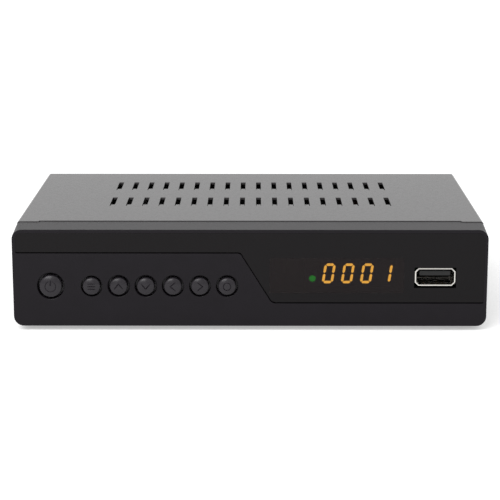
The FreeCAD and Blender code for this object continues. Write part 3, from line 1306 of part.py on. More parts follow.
# ---- The whole receiver ----------------------------------------------------------------------------------
def receiver():
    """Every sub-part by name."""
    parts = {
        "fascia": fascia(),
        "display_plate": display_plate(),
        "power_button": push_button(POWER_X, POWER_CAP_RADIUS, POWER_HOLE_RADIUS),
        "power_plunger": switch_plunger(POWER_X),
        "switch_bodies": switch_bodies(),
        "button_guide": button_guide(),
        "front_board": front_board(),
        "front_board_screws": front_board_screws(),
        "display_holder": display_holder(),
        "display_module": display_module(),
        "lit_segments": display_segments(True),
        "unlit_segments": display_segments(False),
        "power_led": led(POWER_LED_DROP),
        "standby_led": led(STANDBY_LED_DROP),
        "ir_receiver": ir_receiver(),
        "usb_shell": usb_shell(),
        "usb_tongue": usb_tongue(),
        "usb_contacts": usb_contacts(),
        "top_cover": top_cover(),
        "cover_screws": cover_screws(),
        "chassis": chassis(),
        "rubber_feet": rubber_feet(),
        "board_standoffs": board_standoffs(),
        "main_board": main_board(),
        "main_board_screws": main_board_screws(),
        "board_header": board_header(),
        "processor": processor(),
        "heatsink": heatsink(),
        "memory_chips": memory_chips(),
        "capacitors": capacitors(),
        "inductors": inductors(),
        "crystal": crystal(),
        "tuner_can": tuner_can(),
        "tuner_lid": tuner_lid(),
        "lnb_in_connector": f_connector(f_places()[0]),
        "lnb_out_connector": f_connector(f_places()[1]),
        "f_insulators": f_insulators(),
        "f_nuts": f_nuts(),
        "scart_housing": scart_housing(),
        "scart_contacts": scart_contacts(),
        "hdmi_shell": hdmi_shell(),
        "hdmi_insert": hdmi_insert(),
        "coax_shell": coax_shell(),
        "coax_insulator": coax_insulator(),
        "ir_jack": ir_jack(),
        "dc_inlet": dc_inlet(),
        "dc_centre_pin": dc_centre_pin(),
    }
    for name, x in zip(SMALL_NAMES, SMALL_XS):
        parts[name + "_button"] = push_button(x, SMALL_CAP_RADIUS, SMALL_HOLE_RADIUS)
        parts[name + "_plunger"] = switch_plunger(x)
    return parts


os.makedirs("parts", exist_ok=True)
for part_name, part_shape in receiver().items():
    part_shape.exportStep("parts/" + part_name + ".step")
    print(part_name, "solids", len(part_shape.Solids), "valid", part_shape.isValid(),
          "volume", round(part_shape.Volume, 2))
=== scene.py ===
import logging
import math
from collections.abc import Callable, Iterable, Sequence
from dataclasses import dataclass, field
from enum import Enum

import bpy
from mathutils import Matrix, Vector


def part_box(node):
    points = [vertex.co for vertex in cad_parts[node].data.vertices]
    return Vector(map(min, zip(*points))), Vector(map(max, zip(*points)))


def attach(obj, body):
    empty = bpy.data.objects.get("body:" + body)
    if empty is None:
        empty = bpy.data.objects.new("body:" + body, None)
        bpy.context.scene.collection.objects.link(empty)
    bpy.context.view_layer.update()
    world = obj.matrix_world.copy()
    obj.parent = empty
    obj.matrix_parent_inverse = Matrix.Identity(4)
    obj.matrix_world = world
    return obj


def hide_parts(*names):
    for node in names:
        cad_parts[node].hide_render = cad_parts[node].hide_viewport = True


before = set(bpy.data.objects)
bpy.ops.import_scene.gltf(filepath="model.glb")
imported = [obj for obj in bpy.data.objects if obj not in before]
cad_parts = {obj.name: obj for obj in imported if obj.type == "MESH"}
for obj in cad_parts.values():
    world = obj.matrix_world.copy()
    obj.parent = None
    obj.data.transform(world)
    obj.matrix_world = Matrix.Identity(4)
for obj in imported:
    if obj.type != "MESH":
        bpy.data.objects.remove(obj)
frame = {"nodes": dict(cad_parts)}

# Visual model of a satellite TV receiver. Pieces are modelled in millimetres at their place in the frame and
# brought to metres when they are finished. X runs to the right seen from the front, Y from front to back.

LOG = logging.getLogger("receiver")
MM = 0.001                       # metres in a millimetre
NEAR = 0.02                      # how close two places are to count as one, in millimetres
MERGE = NEAR / 20                # corners closer than this are merged
NODE_MERGE = NEAR / 10           # the same in the copy of a frame's node
FLAT = math.radians(0.5)         # faces of such a copy that differ by less become one
SHARP = math.radians(40.0)       # edges sharper than this are rounded
SMOOTH = math.radians(32.0)      # edges flatter than this are shaded smooth
STRAIGHT = 0.999                 # share of a normal along an axis that counts as all of it
PAST = 2.0                       # how far a cutter reaches past what it cuts
ROUND = 64                       # sides of a round piece that shows
SMALL_ROUND = 48                 # sides of a small one
HIDDEN_ROUND = 24                # sides of one that hardly shows

Piece = bpy.types.Object
Owner = bpy.types.Material | bpy.types.World
Place = tuple[float, float, float]
Test = Callable[[Vector, Vector], bool]


# ---- Modelling bench -------------------------------------------------------------------------------------
class Element(Enum):
    """What a selection is made of."""

    VERTS = (True, False, False)
    EDGES = (False, True, False)
    FACES = (False, False, True)


class Axis(Enum):
    """Turn that lays an upright primitive along an axis."""

    X = (0.0, math.pi / 2, 0.0)
    Y = (math.pi / 2, 0.0, 0.0)
    Z = (0.0, 0.0, 0.0)

    @property
    def way(self) -> Vector:
        """Unit vector along the axis."""
        return Vector([float(axis is self) for axis in Axis])


def anywhere(place: Vector, way: Vector) -> bool:
    """Test that every element passes."""
    return True


def at(x: float | None = None, y: float | None = None, z: float | None = None) -> Test:
    """Make a test for the elements whose middle has the given coordinates.

    Args:
        x: Place along X, if it counts.
        y: Place along Y, if it counts.
        z: Place along Z, if it counts.

    Returns:
        The test.
    """
    wanted = (x, y, z)
    return lambda place, way: all(abs(a - b) < NEAR for a, b in zip(place, wanted) if b is not None)


def take(*objects: Piece) -> None:
    """Select only these objects and make the first one active.

    Args:
        objects: What the next operator acts on.
    """
    for obj in bpy.context.selected_objects:
        obj.select_set(False)
    for obj in objects:
        obj.select_set(True)
    bpy.context.view_layer.objects.active = objects[0] if objects else None


def settle(obj: Piece) -> Piece:
    """Move an object's place, turn and scale into its mesh.

    Args:
        obj: The object to settle.

    Returns:
        The same object.
    """
    take(obj)
    bpy.ops.object.transform_apply(location=True, rotation=True, scale=True)
    return obj


def edit(obj: Piece, element: Element, test: Test, *steps: Callable[[], object]) -> None:
    """Select elements by place and run operators on them in edit mode.

    Args:
        obj: The mesh object.
        element: What is selected.
        test: Takes an element's middle and its normal, or an edge's direction.
        steps: Operators to run, in order.
    """
    take(obj)
    bpy.context.tool_settings.mesh_select_mode = element.value
    mesh = obj.data
    for items in (mesh.vertices, mesh.edges, mesh.polygons):
        items.foreach_set("select", [False] * len(items))
    if element is Element.VERTS:
        for vert in mesh.vertices:
            vert.select = test(vert.co, vert.normal)
    elif element is Element.EDGES:
        for edge in mesh.edges:
            start, end = (mesh.vertices[k].co for k in edge.vertices)
            edge.select = test((start + end) / 2, end - start)
    else:
        for face in mesh.polygons:
            face.select = test(face.center, face.normal)
    bpy.ops.object.mode_set(mode="EDIT")
    for step in steps:
        step()
    bpy.ops.object.mode_set(mode="OBJECT")


def bevel(obj: Piece, test: Test, width: float, segments: int = 3, element: Element = Element.EDGES) -> None:
    """Round the edges or corners that pass the test.

    Args:
        obj: The mesh object.
        test: Takes a middle and a direction.
        width: Width of the bevel.
        segments: Steps across it.
        element: Edges, or the corners of a flat outline.
    """
    affect = "VERTICES" if element is Element.VERTS else "EDGES"
    edit(obj, element, test,
         lambda: bpy.ops.mesh.bevel(offset=width, segments=segments, affect=affect, clamp_overlap=True))


def extrude(obj: Piece, test: Test, by: Place) -> None:
    """Extrude the edges that pass the test.

    Args:
        obj: The mesh object.
        test: Takes a middle and a direction.
        by: How far the new edges are moved.
    """
    edit(obj, Element.EDGES, test,
         lambda: bpy.ops.mesh.extrude_region_move(TRANSFORM_OT_translate={"value": by}))


def split(obj: Piece, test: Test, point: Place | Vector, normal: Place | Vector) -> None:
    """Split the faces that pass the test along a plane.

    Args:
        obj: The mesh object.
        test: Takes a face's middle and its normal.
        point: A point of the plane.
        normal: The plane's normal.
    """
    edit(obj, Element.FACES, test, lambda: bpy.ops.mesh.bisect(plane_co=point, plane_no=normal))


def face_outwards(obj: Piece, way: Place | None = None) -> None:
    """Merge doubles and turn every face outwards.

    Args:
        obj: The mesh object.
        way: For an open sheet, the way that most of it looks.
    """
    edit(obj, Element.FACES, anywhere,
         lambda: bpy.ops.mesh.remove_doubles(threshold=MERGE),
         lambda: bpy.ops.mesh.normals_make_consistent(inside=False))
    if way is not None:
        total = sum((face.normal * face.area for face in obj.data.polygons), Vector())
        if total.dot(Vector(way)) < 0:
            edit(obj, Element.FACES, anywhere, bpy.ops.mesh.flip_normals)


def block(name: str, low: Place, high: Place) -> Piece:
    """Box between two corners.

    Args:
        name: Name of the object.
        low: Its left, front, lower corner.
        high: Its right, rear, upper corner.

    Returns:
        The new object.
    """
    take()
    bpy.ops.mesh.primitive_cube_add(size=1.0, location=[(a + b) / 2 for a, b in zip(low, high)])
    obj = bpy.context.object
    obj.name = name
    obj.scale = [b - a for a, b in zip(low, high)]
    return settle(obj)


def drum(name: str, start: Place, radius: float, length: float, axis: Axis = Axis.Y,
         sides: int = ROUND) -> Piece:
    """Round bar from a point along an axis.

    Args:
        name: Name of the object.
        start: Middle of its first end.
        radius: Its radius.
        length: Its length.
        axis: The way it runs.
        sides: Flats round it.

    Returns:
        The new object.
    """
    take()
    bpy.ops.mesh.primitive_cylinder_add(vertices=sides, radius=radius, depth=length,
                                        location=Vector(start) + axis.way * length / 2, rotation=axis.value)
    obj = bpy.context.object
    obj.name = name
    return settle(obj)


def sheet(name: str, low: Place, high: Place) -> Piece:
    """Flat rectangle between two corners: upright if they share a Y, level if they share a Z.

    Args:
        name: Name of the object.
        low: Its left, lower or front corner.
        high: The opposite corner.

    Returns:
        The new object, which faces the front or up.
    """
    upright = low[1] == high[1]
    reach = [b - a for a, b in zip(low, high)]
    take()
    bpy.ops.mesh.primitive_plane_add(size=1.0, location=[(a + b) / 2 for a, b in zip(low, high)],
                                     rotation=Axis.Y.value if upright else Axis.Z.value)
    obj = bpy.context.object
    obj.name = name
    obj.scale = (reach[0], reach[2] if upright else reach[1], 1.0)
    return settle(obj)


def modify(obj: Piece, kind: str, **settings: object) -> None:
    """Add a modifier, set it and apply it.

    Args:
        obj: The object.
        kind: The modifier's type.
        settings: Its settings by name.
    """
    modifier = obj.modifiers.new(kind.title(), kind)
    for name, value in settings.items():
        setattr(modifier, name, value)
    take(obj)
    bpy.ops.object.modifier_apply(modifier=modifier.name)


def thicken(obj: Piece, thickness: float) -> None:
    """Give a sheet its thickness, behind the side that it faces."""
    modify(obj, "SOLIDIFY", thickness=thickness, offset=-1.0, use_even_offset=True, use_rim=True)


def repeat(obj: Piece, count: int, step: Place) -> None:
    """Repeat a mesh in a row."""
    modify(obj, "ARRAY", count=count, use_relative_offset=False, use_constant_offset=True,
           constant_offset_displace=step)


def soften(obj: Piece, width: float, segments: int = 2) -> None:
    """Round every sharp edge."""
    modify(obj, "BEVEL", width=width, segments=segments, limit_method="ANGLE", angle_limit=SHARP,
           use_clamp_overlap=True, miter_outer="MITER_ARC")


def combine(obj: Piece, tools: Iterable[Piece], operation: str = "DIFFERENCE") -> None:
    """Cut other solids out of an object, or add them to it, and use them up.

    Args:
        obj: What is kept.
        tools: The other solids.
        operation: The Boolean modifier's operation.
    """
    for tool in tools:
        modify(obj, "BOOLEAN", object=tool, operation=operation, solver="EXACT")
        bpy.data.objects.remove(tool)


def join(objects: Sequence[Piece]) -> Piece:
    """Join objects.

    Args:
        objects: The objects, at least two.

    Returns:
        The first one, which now holds them all.
    """
    take(*objects)
    bpy.ops.object.join()
    return bpy.context.object


def twin(obj: Piece, move: Place, mirror_x: bool = False) -> Piece:
    """Copy an object with a mesh of its own.

    Args:
        obj: The object to copy.
        move: How far the copy lies from it.
        mirror_x: Whether the copy is mirrored across x = 0 before it is moved.

    Returns:
        The copy.
    """
    copy = obj.copy()
    copy.data = obj.data.copy()
    bpy.context.scene.collection.objects.link(copy)
    if mirror_x:
        copy.scale.x = -1.0
    copy.location = move
    settle(copy)
    if mirror_x:
        face_outwards(copy)
    return copy


def turned(name: str, start: Place, profile: Sequence[tuple[float, float]]) -> Piece:
    """Round piece that runs to the rear, drawn out from a disc ring by ring.

    Args:
        name: Name of the object.
        start: Middle of its front end.
        profile: Radius of each ring and how far it lies behind the start.

    Returns:
        The closed piece.
    """
    origin, way = Vector(start), Axis.Y.way
    take()
    bpy.ops.mesh.primitive_circle_add(vertices=ROUND, radius=profile[0][0], fill_type="NGON", location=origin,
                                      rotation=Axis.Y.value)
    obj = bpy.context.object
    obj.name = name
    settle(obj)
    steps = []
    for (radius0, reach0), (radius1, reach1) in zip(profile, profile[1:]):
        steps.append(lambda by=reach1 - reach0: bpy.ops.mesh.extrude_region_move(
            TRANSFORM_OT_translate={"value": way * by}))
        steps.append(lambda ratio=radius1 / radius0, reach=reach1: bpy.ops.transform.resize(
            value=(ratio, ratio, ratio), center_override=origin + way * reach))
    edit(obj, Element.FACES, anywhere, *steps)
    edit(obj, Element.EDGES, anywhere, lambda: bpy.ops.mesh.fill_holes(sides=0))
    face_outwards(obj)
    return obj


def redrawn(node: str, edge: float, segments: int = 2) -> Piece:
    """Copy of a node's solid in millimetres, merged and with its sharp edges rounded.

    Args:
        node: Name of the frame's node.
        edge: Width of the rounding.
        segments: Steps across it.

    Returns:
        The copy.
    """
    obj = bpy.data.objects.new(node + "_rounded", frame["nodes"][node].data.copy())
    bpy.context.scene.collection.objects.link(obj)
    obj.scale = (1 / MM, 1 / MM, 1 / MM)
    settle(obj)
    bpy.ops.mesh.customdata_custom_splitnormals_clear()
    edit(obj, Element.FACES, anywhere,
         lambda: bpy.ops.mesh.remove_doubles(threshold=NODE_MERGE),
         lambda: bpy.ops.mesh.dissolve_limited(angle_limit=FLAT))
    soften(obj, edge, segments)
    return obj


def span(corners: Sequence[Vector]) -> tuple[Vector, Vector, Vector]:
    """Turn the corners of a box from metres to millimetres.

    Args:
        corners: Its low and its high corner.

    Returns:
        Both corners and the box's middle.
    """
    low, high = (corner / MM for corner in corners)
    return low, high, (low + high) / 2


# ---- Finishes --------------------------------------------------------------------------------------------
NOISE_MIDDLE = {"From Min": 0.3, "From Max": 0.7}        # where most values of a noise pattern lie


def linear(colour: str) -> tuple[float, float, float, float]:
    """Linear colour from an sRGB hex value such as #2B292C."""
    values = [int(colour[k:k + 2], 16) / 255 for k in (1, 3, 5)]
    return (*(v / 12.92 if v <= 0.04045 else ((v + 0.055) / 1.055) ** 2.4 for v in values), 1.0)


def add_node(owner: Owner, kind: str, values: dict | None = None,
             links: dict | None = None) -> bpy.types.Node:
    """Add a node with its settings and links.

    Args:
        owner: The material or world where the node goes.
        kind: Its type.
        values: Settings of the node, and of its sockets by their names or numbers.
        links: Output sockets by the name or number of the input that they go to.

    Returns:
        The new node.
    """
    tree = owner.node_tree
    node = tree.nodes.new(kind)
    for name, value in (values or {}).items():
        if isinstance(name, str) and hasattr(node, name):
            setattr(node, name, value)
        else:
            node.inputs[name].default_value = value
    for name, source in (links or {}).items():
        tree.links.new(source, node.inputs[name])
    return node


def per_metre(size_mm: float) -> float:
    """Scale of a pattern whose spots have this size in millimetres."""
    return 1.0 / (size_mm * MM)


def blank(name: str) -> bpy.types.Material:
    """Make a node material with nothing in it.

    Args:
        name: Name of the material.

    Returns:
        The material.
    """
    material = bpy.data.materials.new(name)
    material.use_nodes = True
    material.node_tree.nodes.clear()
    return material


@dataclass(frozen=True)
class Finish:
    """Opaque finish with a mottled colour, an uneven gloss and a fine relief.

    Args:
        name: Common name and process, used as the material's name.
        dark: Colour in its darker spots.
        light: Colour in its lighter spots.
        roughness: Middle roughness.
        uneven: How far the roughness swings.
        grain_mm: Size of the relief.
        relief_mm: Height of the relief.
        mottle_mm: Size of the colour's spots.
        metallic: 1 for bare metal.
        specular: Specular level of the plastic or paint.
        coat: Weight of a clear lacquer over it.
        coat_roughness: Roughness of that lacquer.
        stretch: Scale of the pattern along each axis; a brushed face has one small value.
    """

    name: str
    dark: str
    light: str
    roughness: float
    uneven: float = 0.05
    grain_mm: float = 0.4
    relief_mm: float = 0.01
    mottle_mm: float = 6.0
    metallic: float = 0.0
    specular: float = 0.5
    coat: float = 0.0
    coat_roughness: float = 0.08
    stretch: Place = (1.0, 1.0, 1.0)

    def make(self) -> bpy.types.Material:
        """Build the material.

        Returns:
            The material.
        """
        material = blank(self.name)
        coords = add_node(material, "ShaderNodeTexCoord")
        mapped = add_node(material, "ShaderNodeMapping", {"Scale": self.stretch},
                          {"Vector": coords.outputs["Object"]})
        spots = add_node(material, "ShaderNodeTexNoise", {"Scale": per_metre(self.mottle_mm), "Detail": 3.0},
                         {"Vector": mapped.outputs["Vector"]})
        grain = add_node(material, "ShaderNodeTexNoise", {"Scale": per_metre(self.grain_mm), "Detail": 2.0},
                         {"Vector": mapped.outputs["Vector"]})
        colour = add_node(material, "ShaderNodeMix",      # its inputs 6 and 7 are the two colours
                          {"data_type": "RGBA", 6: linear(self.dark), 7: linear(self.light)},
                          {0: spots.outputs["Fac"]})
        gloss = add_node(material, "ShaderNodeMapRange",
                         {**NOISE_MIDDLE, "To Min": self.roughness - self.uneven,
                          "To Max": self.roughness + self.uneven}, {"Value": grain.outputs["Fac"]})
        bump = add_node(material, "ShaderNodeBump", {"Strength": 1.0, "Distance": self.relief_mm * MM},
                        {"Height": grain.outputs["Fac"]})
        shader = add_node(material, "ShaderNodeBsdfPrincipled",
                          {"Metallic": self.metallic, "Specular IOR Level": self.specular,
                           "Coat Weight": self.coat, "Coat Roughness": self.coat_roughness},
                          {"Base Color": colour.outputs[2], "Roughness": gloss.outputs["Result"],
                           "Normal": bump.outputs["Normal"]})
        add_node(material, "ShaderNodeOutputMaterial", None, {"Surface": shader.outputs["BSDF"]})
        return material


@dataclass(frozen=True)
class SmokedAcrylic:
    """Polished see-through sheet, tinted nearly black.

    Args:
        name: Common name and process, used as the material's name.
        colour: Colour of the tint.
        alpha: How much of the view the tint covers.
        roughness: Middle roughness.
        uneven: How far the roughness swings.
        ripple_mm: Size of the polish's ripple.
        specular: Specular level.
    """

    name: str = "smoked_acrylic_polished"
    colour: str = "#171112"
    alpha: float = 0.91
    roughness: float = 0.12
    uneven: float = 0.03
    ripple_mm: float = 9.0
    specular: float = 0.15

    def make(self) -> bpy.types.Material:
        """Build the material.

        Returns:
            The material.
        """
        material = blank(self.name)
        coords = add_node(material, "ShaderNodeTexCoord")
        ripple = add_node(material, "ShaderNodeTexNoise", {"Scale": per_metre(self.ripple_mm), "Detail": 1.0},
                          {"Vector": coords.outputs["Object"]})
        gloss = add_node(material, "ShaderNodeMapRange",
                         {"To Min": self.roughness - self.uneven, "To Max": self.roughness + self.uneven},
                         {"Value": ripple.outputs["Fac"]})
        shader = add_node(material, "ShaderNodeBsdfPrincipled",
                          {"Base Color": linear(self.colour), "Alpha": self.alpha,
                           "Specular IOR Level": self.specular}, {"Roughness": gloss.outputs["Result"]})
        add_node(material, "ShaderNodeOutputMaterial", None, {"Surface": shader.outputs["BSDF"]})
        return material


@dataclass(frozen=True)
class LitEpoxy:
    """Diffusing epoxy with a light behind it, which it spreads a little unevenly.

    Args:
        name: Common name and process, used as the material's name.
        colour: Colour of the light.
        strength: Middle strength of the light.
        body: Colour of the epoxy itself.
        swing: How far the strength swings, as a share of it.
        cloud_mm: Size of the brighter spots.
        roughness: Roughness of the surface.
    """

    name: str
    colour: str
    strength: float
    body: str = "#40382C"
    swing: float = 0.15
    cloud_mm: float = 1.2
    roughness: float = 0.4

    def make(self) -> bpy.types.Material:
        """Build the material.

        Returns:
            The material.
        """
        material = blank(self.name)
        coords = add_node(material, "ShaderNodeTexCoord")
        cloud = add_node(material, "ShaderNodeTexNoise", {"Scale": per_metre(self.cloud_mm), "Detail": 1.0},
                         {"Vector": coords.outputs["Object"]})
        level = add_node(material, "ShaderNodeMapRange",
                         {"To Min": self.strength * (1 - self.swing),
                          "To Max": self.strength * (1 + self.swing)}, {"Value": cloud.outputs["Fac"]})
        shader = add_node(material, "ShaderNodeBsdfPrincipled",
                          {"Base Color": linear(self.body), "Roughness": self.roughness,
                           "Emission Color": linear(self.colour)},
                          {"Emission Strength": level.outputs["Result"]})
        add_node(material, "ShaderNodeOutputMaterial", None, {"Surface": shader.outputs["BSDF"]})
        return material


AnyFinish = Finish | SmokedAcrylic | LitEpoxy


class Palette:
    """Every finish of the receiver, made once and kept by its name."""

    # The real grain of most of these surfaces is finer than 0.2 mm, which wouldn't show, so a grain is drawn
    # as coarse as it needs to be. Spots, ripples and orange peel have their real size.

    # Injection-moulded ABS with a spark-eroded grain: nearly black, with a soft even sheen.
    grained_abs = Finish("abs_moulded_grained", "#0D090E", "#130F15", 0.35, grain_mm=0.35, specular=0.18)
    # The same ABS, polished in the mould: a little lighter, with a tighter highlight on the caps' shoulders.
    satin_abs = Finish("abs_moulded_satin", "#201D21", "#272429", 0.28, grain_mm=0.5, relief_mm=0.005,
                       specular=0.3)
    # Cast acrylic with a smoked tint, polished: a dark window that only lit parts show through.
    smoked_acrylic = SmokedAcrylic()
    # The tint lies in the front face alone, so the rear face of the window is nearly clear.
    clear_acrylic = SmokedAcrylic("smoked_acrylic_rear_face", alpha=0.04)
    # The same acrylic with black ink screen-printed on its back: flat, even black under a smooth gloss.
    printed_acrylic = Finish("smoked_acrylic_back_printed", "#0D0A0C", "#0F0C0E", 0.12, uneven=0.02,
                             grain_mm=9.0, relief_mm=0.0, specular=0.15)
    # Powder coat on folded steel: dark grey, with a slight orange peel, paler towards a low angle.
    powder_coat = Finish("steel_powder_coated", "#413F40", "#454344", 0.2, uneven=0.03, grain_mm=1.2,
                         relief_mm=0.003)
    # Screws blackened in an oxide bath: dark metal with a dull sheen.
    black_oxide = Finish("steel_black_oxide", "#141414", "#1E1D1C", 0.38, grain_mm=0.5, metallic=0.6)
    # Zinc-plated steel inside the case: cool grey and slightly cloudy.
    zinc = Finish("steel_zinc_plated", "#8F9196", "#B4B6BA", 0.3, metallic=1.0)
    # Nickel plate on drawn sheet steel: bright, warm grey, with soft reflections.
    nickel_steel = Finish("steel_nickel_plated", "#CFCCC6", "#DEDBD6", 0.24, grain_mm=1.6, relief_mm=0.0005,
                          metallic=1.0)
    # Nickel plate on turned brass: the same gloss, but a little yellower.
    nickel_brass = Finish("brass_nickel_plated", "#B8B2A2", "#CFC9BA", 0.24, grain_mm=1.6, relief_mm=0.0005,
                          metallic=1.0)
    # Hot-dipped tin on thin steel: pale grey with a milky sheen.
    tin = Finish("steel_tin_plated", "#A3A39E", "#BDBDB8", 0.34, grain_mm=0.8, metallic=1.0)
    # Gold flash on spring bronze: warm yellow glints deep in the sockets.
    gold = Finish("bronze_gold_plated", "#C79A45", "#DDB25C", 0.25, metallic=1.0)
    # Moulded black nylon: dull charcoal beside the glossier ABS.
    black_nylon = Finish("nylon_moulded_black", "#121212", "#1A1A1A", 0.45, specular=0.35)
    # Turned PTFE: waxy off-white.
    white_ptfe = Finish("ptfe_turned_white", "#DCDAD2", "#ECEAE2", 0.5, grain_mm=0.3)
    # Moulded nylon, dyed orange: the one strong colour at the rear.
    orange_nylon = Finish("nylon_moulded_orange", "#C4581A", "#D1661F", 0.42)
    # Moulded rubber: matt charcoal with a rough skin.
    foot_rubber = Finish("rubber_moulded", "#161616", "#1F1E1D", 0.75, grain_mm=0.5, relief_mm=0.03)
    # Glass-fibre board under green solder resist: deep, mottled green with an uneven lacquer gloss.
    solder_resist = Finish("fibreglass_board_green_resist", "#0C3A1E", "#12522B", 0.35, uneven=0.12,
                           grain_mm=1.2, mottle_mm=2.2, coat=0.3)
    # Moulded epoxy of chip packages: matt black.
    epoxy_body = Finish("epoxy_moulded_package", "#141414", "#1C1C1B", 0.55, grain_mm=0.2)
    # Epoxy dyed to pass infrared only: glossy purple-black.
    dark_epoxy = Finish("epoxy_infrared_dark", "#120C12", "#1A121A", 0.12, grain_mm=2.0, relief_mm=0.0)
    # Extruded aluminium: bright grey with streaks along the fins.
    aluminium = Finish("aluminium_extruded", "#9A9CA0", "#B2B4B8", 0.36, metallic=1.0,
                       stretch=(1.0, 0.08, 1.0))
    # Deep-drawn aluminium cans: smooth and brighter.
    capacitor_can = Finish("aluminium_drawn_can", "#A0A2A6", "#BABCC0", 0.28, metallic=1.0)
    # Filled polycarbonate round the segments: even near-black that leaves the contrast to the digits.
    display_body = Finish("polycarbonate_display_body", "#1A1A1C", "#202022", 0.5)
    # Diffusing epoxy with no light behind it: brownish, only just lighter than the body round it.
    unlit_segment = Finish("epoxy_diffusing_unlit", "#24211F", "#2A2724", 0.45)
    # Cast clear epoxy over an unlit chip: grey, glossy lens.
    clear_led = Finish("epoxy_clear_lens", "#3A3A3C", "#4A4A4C", 0.12, grain_mm=1.0, relief_mm=0.0)
    # Diffusing epoxy over amber chips: warm strokes that glow evenly through the smoked plate.
    lit_segment = LitEpoxy("epoxy_diffusing_lit_amber", "#FFB945", 8.3)
    # The same over a green chip: a small, deep green dot.
    green_led = LitEpoxy("epoxy_diffusing_lit_green", "#047C1A", 6.8, "#0A2A0E")

    def __init__(self) -> None:
        """Start with nothing made."""
        self.made: dict[str, bpy.types.Material] = {}

    def get(self, finish: AnyFinish) -> bpy.types.Material:
        """Look up a finish's material, which is made on first use.

        Args:
            finish: The finish.

        Returns:
            Its material.
        """
        if finish.name not in self.made:
            self.made[finish.name] = finish.make()
        return self.made[finish.name]


PALETTE = Palette()


def hand_over(obj: Piece, finish: AnyFinish, slot: str, *nodes: str, body: str = "housing") -> Piece:
    """Finish a piece: bring it to metres, shade it, dress it and fix it to its body.

    Args:
        obj: The piece, in millimetres.
        finish: Its finish.
        slot: Not used.
        nodes: The frame's nodes that it stands for.
        body: The body that it rides on.

    Returns:
        The finished piece.
    """
    obj.scale = (MM, MM, MM)
    settle(obj)
    bpy.ops.object.shade_smooth_by_angle(angle=SMOOTH)
    modify(obj, "WEIGHTED_NORMAL", keep_sharp=True)
    obj.data.materials.clear()
    obj.data.materials.append(PALETTE.get(finish))
    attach(obj, body)
    if nodes:
        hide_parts(*nodes)
    LOG.info("%s: %d faces on %s", obj.name, len(obj.data.polygons), body)
    return obj


# ---- Case ------------------------------------------------------------------------------------------------
@dataclass(frozen=True)
class Case:
    """Main sizes that the pieces share, in millimetres.

    Args:
        half_width: Half the width of the fascia and the case.
        bottom: Height of the fascia's lower edge.
        top: Height of the fascia and the cover.
        face: Place along Y of the fascia's face.
        sheet: Thickness of the steel.
        fascia_depth: Depth of the fascia from its face to its rear rim.
        body_depth: Depth of the case from the fascia's face.
        foot_height: Height of the feet, and of the lower edges of the cover's sides.
        panel_outside: Depth of the rear panel's outer face.
        button_z: Height of the buttons' centres.
        small_first: Centre of the first small button.
        small_pitch: Small button to small button.
        small_count: Number of small buttons.
        power_x: Centre of the power button.
        usb_x: Centre of the USB socket.
        usb_z: Height of that centre.
    """

    half_width: float = 84.0
    bottom: float = 1.8
    top: float = 36.8
    face: float = -59.15
    sheet: float = 0.8
    fascia_depth: float = 15.2
    body_depth: float = 110.0
    foot_height: float = 2.6
    panel_outside: float = 109.6
    button_z: float = 16.4
    small_first: float = -56.104
    small_pitch: float = 9.6012
    small_count: int = 6
    power_x: float = -70.6
    usb_x: float = 65.503
    usb_z: float = 19.75

    def y(self, depth: float) -> float:
        """Place along Y of a depth behind the fascia's face."""
        return self.face + depth

    def small_xs(self) -> list[float]:
        """Centres of the small buttons."""
        return [self.small_first + k * self.small_pitch for k in range(self.small_count)]


CASE = Case()


@dataclass
class SteppedOutline:
    """Outline of the display plate: a band across the top that steps down on the right.

    Args:
        rim: Fascia left round the plate's outer sides.
        upper_drop: Lower edge on the left, below the fascia's top.
        lower_drop: Lower edge on the right.
        upper_x: Where the slanted edge starts.
        slant: Its angle from upright, in degrees.
        corner: Rounding of the two upper corners.
        tight_corner: Rounding of the two lower corners at the sides.
        upper_radius: Radius of the bend into the slanted edge.
        lower_radius: Radius of the bend out of it.
        segments: Steps of each rounding.
    """

    rim: float = 1.2
    upper_drop: float = 8.15
    lower_drop: float = 26.3
    upper_x: float = -3.301
    slant: float = 31.8
    corner: float = 2.3
    tight_corner: float = 0.5
    upper_radius: float = 1.4
    lower_radius: float = 2.2
    segments: int = 8

    def cut(self, name: str, depth: float, rim_gap: float, groove: float) -> Piece:
        """Flat sheet with the outline.

        Args:
            name: Name of the object.
            depth: Where it lies behind the fascia's face.
            rim_gap: Growth of its outer sides.
            groove: Growth of its lower, stepped edge.

        Returns:
            The sheet, which faces the front.
        """
        slant = math.radians(self.slant)
        side = CASE.half_width - self.rim + rim_gap
        top = CASE.top - self.rim + rim_gap
        upper = CASE.top - self.upper_drop - groove
        lower = CASE.top - self.lower_drop - groove
        start_x = self.upper_x + groove * math.tan(slant) - groove / math.cos(slant)
        end_x = start_x + (upper - lower) * math.tan(slant)
        y = CASE.y(depth)
        obj = sheet(name, (-side, y, lower), (side, y, top))
        split(obj, anywhere, (0, y, upper), (0, 0, 1))
        start = Vector((start_x, y, upper))
        across = Vector((math.cos(slant), 0, math.sin(slant)))
        split(obj, lambda place, way: place.z < upper, start, across)
        edit(obj, Element.FACES, lambda place, way: place.z < upper and (place - start).dot(across) < 0,
             lambda: bpy.ops.mesh.delete(type="FACE"))
        edit(obj, Element.EDGES,
             lambda place, way: abs(place.z - upper) < NEAR < place.x - start_x and abs(way.z) < NEAR,
             lambda: bpy.ops.mesh.dissolve_edges(use_verts=False))
        edit(obj, Element.VERTS, at(x=side, z=upper), bpy.ops.mesh.dissolve_verts)
        tangent = math.tan((math.pi / 2 - slant) / 2)
        for x, z, reach in (
            (-side, top, self.corner + rim_gap), (side, top, self.corner + rim_gap),
            (-side, upper, self.tight_corner), (side, lower, self.tight_corner),
            (start_x, upper, self.upper_radius * tangent), (end_x, lower, self.lower_radius * tangent),
        ):
            bevel(obj, at(x=x, z=z), reach, self.segments, Element.VERTS)
        return obj


